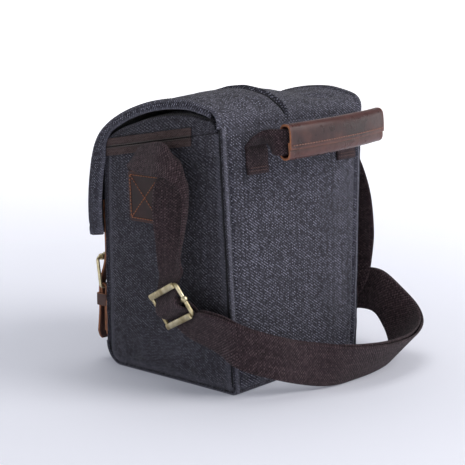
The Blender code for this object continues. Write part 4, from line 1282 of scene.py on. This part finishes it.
def make_slider():
    left = -half_width(205.0) - 1.9 - 1.3
    z = rim_z(26.0)
    for out, label in ((1.3, "outer"), (-1.3, "inner")):
        loop = rounded_loop(Vector((left - out, 26.0, z)), Y_AXIS, Z_AXIS, 6.0, 4.2, 2.6, 5)
        replaced = ["zip_slider"] if out > 0 else []
        plate("slider_" + label, loop, (-1, 0, 0) if out > 0 else (1, 0, 0), 0.9, ["brass"] * 2, "slider",
              replaced, 0.2)
    tube("slider_neck", [(left - 1.0, 30.0, z), (left + 1.0, 30.0, z)], 1.6, ["brass"], "slider")
    arch = [(1.0, 30.5), (2.6, 29.5), (3.0, 26.0), (2.6, 22.5), (1.0, 21.5)]
    bridge = [(left - out, y, z) for out, y in arch]
    tube("slider_bridge", bridge, 0.7, ["brass"], "slider", sides=8)
    out = -98.92
    pull = [(22.0, 2.4), (26.0, 2.8), (30.0, 3.4), (36.0, 3.4), (39.5, 2.8), (41.0, 1.4)]
    outline = [Vector((out - 0.6, y, z - half)) for y, half in pull]
    outline += [Vector((out - 0.6, y, z + half)) for y, half in reversed(pull)]
    plate("pull_tab", outline, (-1, 0, 0), 1.2, ["brass"] * 2, "pull", ["zip_pull"], 0.15)


# Webbing.

def across_points(station, columns):
    """Evenly spaced points across a station: straight between two edges, or rounded over a fold."""
    points = [Vector(p) for p in station]
    if len(points) == 2:
        return [points[0].lerp(points[1], c / (columns - 1)) for c in range(columns)]
    result, _ = resample(points, columns)
    for _ in range(2):
        inner = [(a + b * 2 + c) / 4 for a, b, c in zip(result, result[1:], result[2:])]
        result = [result[0]] + inner + [result[-1]]
    return result


def strap_sheet(name, stations, body, replaced, width=38.0, columns=13):
    """Webbing through stations of (left, right) edges or (left, fold, right); width is that of its weave."""
    lines = [across_points(station, columns) for station in stations]
    curves = [catmull([line[c] for line in lines], 5) for c in range(columns)]
    array = np.array([[tuple(curve[r]) for curve in curves] for r in range(len(curves[0]))])
    normal = np.cross(np.gradient(array, axis=1), np.gradient(array, axis=0))
    normal /= np.maximum(np.linalg.norm(normal, axis=2, keepdims=True), 1e-9)
    middle = array[:, columns // 2]
    along = np.concatenate([[0.0], np.cumsum(np.linalg.norm(np.diff(middle, axis=0), axis=1))])
    across = (np.arange(columns) / (columns - 1) - 0.5) * width
    uv = np.stack(np.broadcast_arrays(across[None, :], along[:, None]), 2)
    front = array + normal * WEBBING_THICKNESS / 2
    behind = array - normal * WEBBING_THICKNESS / 2
    mesh = sheet_mesh(front, WEBBING_THICKNESS, uv=uv, behind=behind, bulge=0.35)
    return finish_object(name, mesh, ["webbing"], body, replaced, 60)


def adjuster_point(across, run, out):
    return ADJUSTER + ADJUSTER_BAR * across + ADJUSTER_RUN * run + ADJUSTER_RUN.cross(ADJUSTER_BAR) * out


def across_adjuster(path):
    half = 18.0
    return [(adjuster_point(-half, run, out), adjuster_point(half, run, out)) for run, out in path]


def loop_edges():
    """The loop's outer layer, its turn round the ring's left leg, and the inner layer on its way back."""
    outer = [(Vector(low), Vector(high)) for low, high in LOOP_OUTER]
    count = len(outer)
    inner = []
    for index, (low, high) in enumerate(outer):
        before = outer[max(index - 1, 0)]
        after = outer[min(index + 1, count - 1)]
        along = (after[0] + after[1]) - (before[0] + before[1])
        normal = along.cross(high - low).normalized()
        step = LAYER_STEP + max(index - count + 4, 0) * (7.0 - LAYER_STEP) / 3
        inner.append((low - normal * step, high - normal * step))
    x, y, z = STRAP_RING
    turn = []
    for angle in (60, 120):
        bend = math.radians(angle)
        place = (x - RING_HALF - 3.5 * math.cos(bend), y - 3.5 * math.sin(bend))
        turn.append((Vector((*place, z - 19.0)), Vector((*place, z + 19.0))))
    return outer, turn, list(reversed(inner))


def ring_turn():
    """The short strap's turn round the ring's right leg, and its sewn end."""
    x, y, z = STRAP_RING
    centre = x + RING_HALF
    edges = []
    for angle in (60, 120, 180):
        turn = math.radians(angle)
        place = (centre + 3.5 * math.cos(turn), y - 3.5 * math.sin(turn))
        edges.append(((*place, z + 19.0), (*place, z - 19.0)))
    last = (centre - 3.5, y + 8.0)
    edges.append(((*last, z + 19.0), (*last, z - 19.0)))
    return edges


def make_shoulder_strap():
    over = across_adjuster([(-14, -3.9), (-9, -1.2), (-5, 3.2), (0, 5.4), (5, 3.2), (8.6, -0.8), (12, -3.6)])
    sewn = across_adjuster([(10, -7.2), (6, -5.6), (2.5, -4.0), (-1, -3.1), (-3, -1.0), (-2.7, 1.4), (0, 2.9),
                            (2.2, 2.0)])
    outer, turn, inner = loop_edges()
    strap_sheet("shoulder_webbing", RIGHT_DROP + over + outer + turn + inner + sewn, "body",
                ["strap_drop_right", "strap_loop"], columns=19)
    strap_sheet("short_webbing", LEFT_DROP + ring_turn(), "body", ["strap_drop_left"])
    ring = rounded_loop(Vector(STRAP_RING), X_AXIS, Z_AXIS, RING_HALF, 22.0, 3.5, 8)
    tube("ring_loop", ring, 2.0, ["brass"], "body", ["strap_ring"], 16, True)
    make_adjuster()
    for side, label in SIDES:
        make_side_patch(side, label)


def make_adjuster():
    """A slide buckle: round rails, flat end bars and a centre bar whose ends are upset into knobs."""
    loop = rounded_loop(ADJUSTER, ADJUSTER_BAR, ADJUSTER_RUN, 21.8, 14.2, 3.0, 6)
    tube("adjuster_loop", loop, 1.75, ["brass"], "body", ["adjuster_frame"], 14, True)
    for run, label in ((-14.2, "upper"), (14.2, "lower")):
        def flat(u, v):
            wide = (u - 0.5) * 2
            return adjuster_point(20.4 * (2 * v - 1), run + 1.5 * wide, 1.5 - 0.4 * wide * wide)

        sheet("adjuster_bar_" + label, flat, 12, 9, 2.2, ["brass"], "body", flip=True, slot="brass",
              bulge=0.4)
    tube("adjuster_rod", [adjuster_point(-20.2, 0, 0), adjuster_point(20.2, 0, 0)], 1.5, ["brass"], "body",
         ["adjuster_centre_bar"], 12)
    for sign, label in ((-1, "lower"), (1, "upper")):
        line = [adjuster_point(sign * a, 0, 0) for a in (18.6, 19.2, 21.0, 22.8, 24.2, 24.7)]
        tube("adjuster_knob_" + label, line, [1.6, 2.3, 2.8, 2.8, 2.2, 0.9], ["brass"], "body", sides=14)


def make_side_patch(side, label):
    """The leather patch that holds the strap's end, with a boxed cross of orange thread."""
    x_low, x_high = half_width(135.5) + 5.0, half_width(177.5) + 5.0
    slope = (x_high - x_low) / 42.0
    centre = Vector((side * (x_low + x_high) / 2, -15.0, 156.5))
    up = Vector((side * slope, 0, 1)).normalized()
    normal = Vector((side, 0, -slope)).normalized()
    loop = rounded_loop(centre, Y_AXIS, up, 19.5, 21.5, 3.5, 5, 6)
    plate("patch_" + label, loop, normal, 1.9, ["leather_dark", "cut_edge"], "body",
          ["strap_patch_" + label], 0.35)

    def at(a, b):
        return centre + Vector((0, a, 0)) + up * b + normal * 0.25
    a, b = 16.6, 18.4
    box = [at(-a, -b), at(a, -b), at(a, b), at(-a, b), at(-a, -b)]
    cross = [([at(-a, -b), at(a, b)], normal), ([at(-a, b), at(a, -b)], normal)]
    sides = [([p, q], normal) for p, q in zip(box, box[1:])]
    stitches("patch_stitching_" + label, sides + cross, "thread_tan", "body", 3.0, 2.1, 0.42, 0.2)


# Handle.

def handle_edges():
    """Edges of the webbing from the right leg, through the grip, to the left leg.

    A row of HANDLE_HALF has the two edges' places beside the leg, their y and their heights.
    """
    right = []
    for upper, lower, y, high, low in HANDLE_HALF:
        right.append(((HANDLE_LEG + upper, y, high), (HANDLE_LEG + lower, y, low)))
    middle = [((0, GRIP_BOW_Y, 221.3), (0, GRIP_BOW_Y, 201.3))]
    left = [((-a[0], *a[1:]), (-b[0], *b[1:])) for a, b in reversed(right)]
    return [(tilted(first), tilted(second)) for first, second in right + middle + left]


def tilted(point):
    """Move a point of the handle to its place on the bag, with the grip's left end a little higher."""
    x, y, z = point
    share = min(max((y - 75.0) / 22.0, 0.0), 1.0)
    return (x + HANDLE_X, y, z - GRIP_TILT * x * share)


def grip_frame(x):
    """The grip's middle and its outward direction, for x from the handle's centre."""
    slope = 2 * GRIP_BOW * x / GRIP_HALF ** 2
    middle = Vector((HANDLE_X + x, GRIP_BOW_Y - GRIP_BOW * (x / GRIP_HALF) ** 2, GRIP_Z - GRIP_TILT * x))
    return middle, Vector((slope, 1.0, 0.0)).normalized()


def grip_stitch_shares(curve):
    """Where the stitch rows lie round the leather: just above its lower lip, on both faces."""
    front = [i for i, p in enumerate(curve) if p.x > 0 and i < 20]
    behind = [i for i, p in enumerate(curve) if p.x < 0]
    near = min(front, key=lambda i: abs(curve[i].y + 2.6))
    far = min(behind, key=lambda i: abs(curve[i].y + 2.6))
    return near / 63, far / 63


def make_handle():
    """The webbing, and the leather wrapped round it with its lower lip lapped over and sewn."""
    strap_sheet("handle_strap", handle_edges(), "handle", ["handle_webbing"], width=26.0, columns=9)
    section = [
        (6.1, -5.6), (6.2, -2.4), (5.9, 3.0), (5.3, 7.6), (3.9, 11.2), (1.2, 12.5), (-1.8, 12.3),
        (-4.2, 10.6), (-5.1, 7.0), (-5.2, 0.0), (-5.2, -7.0), (-4.4, -10.8), (-1.6, -12.7), (1.6, -12.8),
        (4.2, -11.4), (5.0, -8.6), (4.6, -6.2), (4.0, -3.5), (3.8, -0.5),
    ]
    curve, _ = smoothed([(d * 0.8, h) for d, h in section], 5, 64)

    def leather(u, v):
        x = GRIP_START - GRIP_LENGTH * v
        centre, out = grip_frame(x)
        d, h = curve[round(u * 63)]
        flare = 0.5 * smoothstep(57.0, 63.0, abs(x))
        waver = 0.25 * wrinkle(x, d * 3, h * 2, 0.08, 6.0)
        lip = 0.35 * wrinkle(x, 0, 0, 0.06, 14.0) * bell(h, -5.0, 3.0)
        side = out * (d + math.copysign(flare + waver * 0.6, d))
        return centre + side + Vector((0, 0, h + waver * 0.4 + lip))

    # Rubbed lips and cut ends, plus a painted highlight: the broad band round the grip's top (at 20 of 64)
    # stands in for the gloss that light puts there.
    def wear_and_highlight(u, v):
        ends = min(v, 1 - v) * 127.0
        top = 0.55 * bell(u * 64, 0.0, 1.2) + 0.35 * bell(u * 64, 20.0, 5.0)
        return top + 0.5 * bell(ends, 0.0, 1.5) + 0.45 * bell(u * 64, 52.0, 5.0)

    sheet("grip_leather", leather, 56, 64, 1.8, ["leather_grip", "cut_edge"], "handle", ["handle_grip"],
          False, "leather", wear_and_highlight, edge=1, bulge=0.25)
    rows = []
    for share in grip_stitch_shares(curve):
        path = [leather(share, v / 70) for v in range(1, 70)]
        outs = []
        for v in range(1, 70):
            _, out = grip_frame(GRIP_START - GRIP_LENGTH * v / 70)
            outs.append(out if curve[round(share * 63)].x > 0 else -out)
        rows.append((path, outs))
    stitches("grip_stitching", rows, "thread_grip", "handle", 3.2, 2.2, 0.5, 1.95)
    make_handle_tabs()


def make_handle_tabs():
    """Two folded tabs sewn to the back, their tops tucked in behind the handle's ends."""
    for side, label in SIDES:
        x = HANDLE_X + side * HANDLE_LEG

        def tab(u, v):
            z = TAB_BOTTOM + (TAB_TOP - TAB_BOTTOM) * v
            place = x + (0.5 - u) * 26.0
            hem = 0.8 * smoothstep(6.5, 5.5, z - TAB_BOTTOM)
            rest = back_y(z) + back_depth(place, z) * (1 - smoothstep(196.0, TAB_TOP, z))
            rest -= 1.5 * smoothstep(199.0, TAB_TOP, z)
            return Vector((place, rest + 2.3 + hem, z))

        sheet("tab_" + label, tab, 20, 15, 2.0, ["webbing"], "body", ["handle_tab_" + label], slot="webbing")
        lines = []
        for z in (2.5, 5.0):
            lines.append(([tab(u / 10, z / (TAB_TOP - TAB_BOTTOM)) for u in range(1, 10)], Y_AXIS))
        stitches("tab_stitching_" + label, lines, "thread_brown", "body", 3.0, 2.1, 0.38, 0.15)


# Closures.

def strip(name, path, half, thickness, x, replaced, is_slot, rows):
    """A leather strip on the flap along a (y, z) path; is_slot(z, share) says where its middle is open."""
    samples, total = smoothed(path, 5, rows)
    shares = [0.0, 0.14, 0.26, 0.361, 0.639, 0.74, 0.86, 1.0]
    grid = []
    worn = []
    uv = []
    for r, point in enumerate(samples):
        reach = half(point.y, r / (rows - 1))
        grid.append([on_outline(samples, r, x + (0.5 - s) * 2 * reach, thickness / 2) for s in shares])
        worn.append([0.8 * bell(min(s, 1 - s), 0.0, 0.06) + 0.3 * bell(r, rows - 1, 3.0) for s in shares])
        uv.append([((s - 0.5) * 2 * reach, total * r / (rows - 1)) for s in shares])

    def is_open(r, c):
        return c == 3 and is_slot(samples[r].y, r / (rows - 1))

    mesh = sheet_mesh(grid, thickness, uv=uv, wear_and_highlight=worn, edge=1, is_open=is_open, bulge=0.25)
    finish_object(name, mesh, ["leather", "cut_edge"], "flap", replaced, 50)


def make_closures():
    for side, label in SIDES:
        x = side * BUCKLE_X
        make_closure_leather(label, x)
        make_keeper(label, x)
        low, high = Vector((x, *BUCKLE_LOW)), Vector((x, *BUCKLE_HIGH))
        half = (high - low).length / 2
        loop = rounded_loop((low + high) / 2, X_AXIS, (high - low).normalized(), 12.2, half, 3.0, 7)
        tube("buckle_loop_" + label, loop, 1.5, ["brass"], "flap", ["buckle_frame_" + label], 14, True)
        base = Vector((x, front_y(PATCH_Z) - 1.8, PATCH_Z))
        loop = rounded_loop(base, X_AXIS, Z_AXIS, 12.0, 17.0, 3.0, 5, 4)
        plate("front_leather_" + label, loop, -Y_AXIS, 1.5, ["leather", "cut_edge"], "body",
              ["front_patch_" + label], 0.0)
        edges = rounded_loop(base, X_AXIS, Z_AXIS, 9.8, 14.8, 2.0, 4)
        stitches("front_patch_stitching_" + label, [(edges + [edges[0]], -Y_AXIS)], "thread_tan", "body",
                 2.8, 1.9, 0.36, 0.05)
        make_closure_stitches(label, x)


def make_closure_leather(label, x):
    """The slotted strap from the flap, and the snap strap folded over the buckle's lower bar."""
    def reach(z, _):
        tip = min(max((z - 18.0) / 8.0, 0.0), 1.0)
        return 9.0 * (0.45 + 0.55 * math.sqrt(tip))

    strip("strap_leather_" + label, CLOSURE_STRAP, reach, 2.0, x, ["flap_strap_" + label],
          lambda z, _: 64.0 < z < 90.0, 110)
    y, z = BUCKLE_LOW
    turns = [math.radians(30 * step) for step in range(7)]
    fold = [(-79.8, 28.0), (-79.8, 36.0), (-79.8, 44.0), (-79.6, 54.0), (-79.1, 61.0)]
    fold += [(y + 2.7 * math.cos(turn), z + 2.7 * math.sin(turn)) for turn in turns]
    fold += [(-84.1, 62.0), (-83.9, 56.0)]
    strip("snap_leather_" + label, fold, lambda z, s: 9.0, 1.6, x, ["snap_strap_" + label],
          lambda z, s: z > 54.5 and 0.42 < s < 0.88, 80)


def make_closure_stitches(label, x):
    samples, _ = smoothed(CLOSURE_STRAP, 5, 80)
    lines = []
    for sign in (1, -1):
        for low, high in ((100, 140), (24, 60)):
            rows = [i for i, p in enumerate(samples) if low < p.y < high]
            lines.append(([on_outline(samples, i, x + sign * 6.9, 1.0) for i in rows], -Y_AXIS))
    stitches("strap_stitching_" + label, lines, "thread_tan", "flap", 3.0, 2.0, 0.36, 0.1)


def make_keeper(label, x):
    heights = (50.5, 50.9, 52.5, 55.75, 59.0, 60.6, 61.0)
    rows = [rounded_loop(Vector((x, -82.8, z)), X_AXIS, Y_AXIS, 11.1, 6.7, 2.3, 4, 4) for z in heights]
    mesh = sheet_mesh(rows, 1.3, closed=True, edge=1, bulge=0.3)
    finish_object("keeper_loop_" + label, mesh, ["leather", "cut_edge"], "flap", ["keeper_" + label], 60)


# Inside.

def make_inside():
    """The lining, folded over the padding at the rim, and the two padded dividers."""
    inset = 9.8
    floor = 14.5
    steps = [("rim", 0.9, -0.1), ("rim", 4.5, 0.5), ("rim", 8.4, -0.2), ("wall", inset, 0.97)]
    steps += [("wall", inset, t / 14) for t in range(13, 0, -1)]
    steps += [("floor", inset + 2.0, 0.4), ("floor", inset + 8.0, 0.1)]
    steps += [("floor", gap, 0.0) for gap in (25.0, 45.0, 64.0)]
    rows = []
    for kind, gap, level in steps:
        loop = []
        z_guess = {"rim": 200.0, "wall": floor + (200.0 - floor) * level, "floor": floor}[kind]
        half_y = (back_y(z_guess) - front_y(z_guess)) / 2 - gap
        centre_y = (back_y(z_guess) + front_y(z_guess)) / 2
        half_x = half_width(z_guess) - gap
        if kind == "floor" and gap > 60:
            half_x = 20.0
            half_y = 4.0
        corner = min(6.0, half_y * 0.9) if kind != "rim" else 3.0
        centre = Vector((0, centre_y, 0))
        for p in rounded_loop(centre, X_AXIS, Y_AXIS, half_x, half_y, corner, 5, 14):
            top = rim_z(min(max(p.y, -60.0), 60.0)) - 2.2
            if kind == "rim":
                z = top + 1.4 + level
            elif kind == "wall":
                z = floor + (top - floor) * level
                slack = 0.5 * wrinkle(p.x, p.y, z, 0.05, 15.0)
                p = p - Vector((p.x / 90.0, (p.y - centre_y) / 70.0, 0)) * slack
            else:
                z = floor + level
            loop.append(Vector((p.x, p.y, z)))
        rows.append(loop)
    mesh = sheet_mesh(rows, 1.0, closed=True)
    finish_object("inner_lining", mesh, ["lining"], "body", ["lining"], 60)
    for side, label in SIDES:
        make_divider(side, label)


def make_divider(side, label):
    x = side * 38.0

    def face(sign, u, v):
        z = 15.4 + 134.4 * v
        back, front = back_y(z) - 10.5, front_y(z) + 10.5
        y = front + (back - front) * u
        edge = min(u * 120.0, (1 - u) * 120.0, v * 134.0, (1 - v) * 134.0)
        thick = 1.5 + 1.9 * smoothstep(0.0, 9.0, edge) - 0.5 * bell(edge, 7.5, 1.2)
        thick += 0.2 * wrinkle(sign * 5 + side, y, z, 0.06, 4.0) * smoothstep(0, 10, edge)
        return Vector((x + sign * thick, y, z))

    rows, columns = 50, 46
    grid = [[face(1, c / (columns - 1), r / (rows - 1)) for c in range(columns)] for r in range(rows)]
    behind = [[face(-1, c / (columns - 1), r / (rows - 1)) for c in range(columns)] for r in range(rows)]
    mesh = sheet_mesh(grid, 3.0, behind=behind)
    item = finish_object("divider_pad_" + label, mesh, ["lining"], "divider_body_" + label,
                         ["divider_" + label], 60)


def assign(names, material):
    """Give CAD nodes that stay a finished material."""
    for name in names:
        item = bpy.data.objects[name]
        item.data.materials.clear()
        item.data.materials.append(MATERIALS[material])


def main():
    make_camera()
    make_studio()
    make_materials()
    make_back()
    make_sides()
    make_front()
    make_base()
    make_seams()
    make_flap()
    make_lid()
    make_lid_pad()
    make_zip()
    make_shoulder_strap()
    make_handle()
    make_closures()
    make_inside()
    assign(["padding_back", "padding_front", "padding_base", "padding_right", "padding_left"], "foam")
    assign(["base_board"], "board")
    metals = []
    for _, label in SIDES:
        metals += [part + label for part in ("snap_socket_", "snap_stud_", "buckle_roller_", "buckle_prong_")]
    assign(metals, "brass")


main()
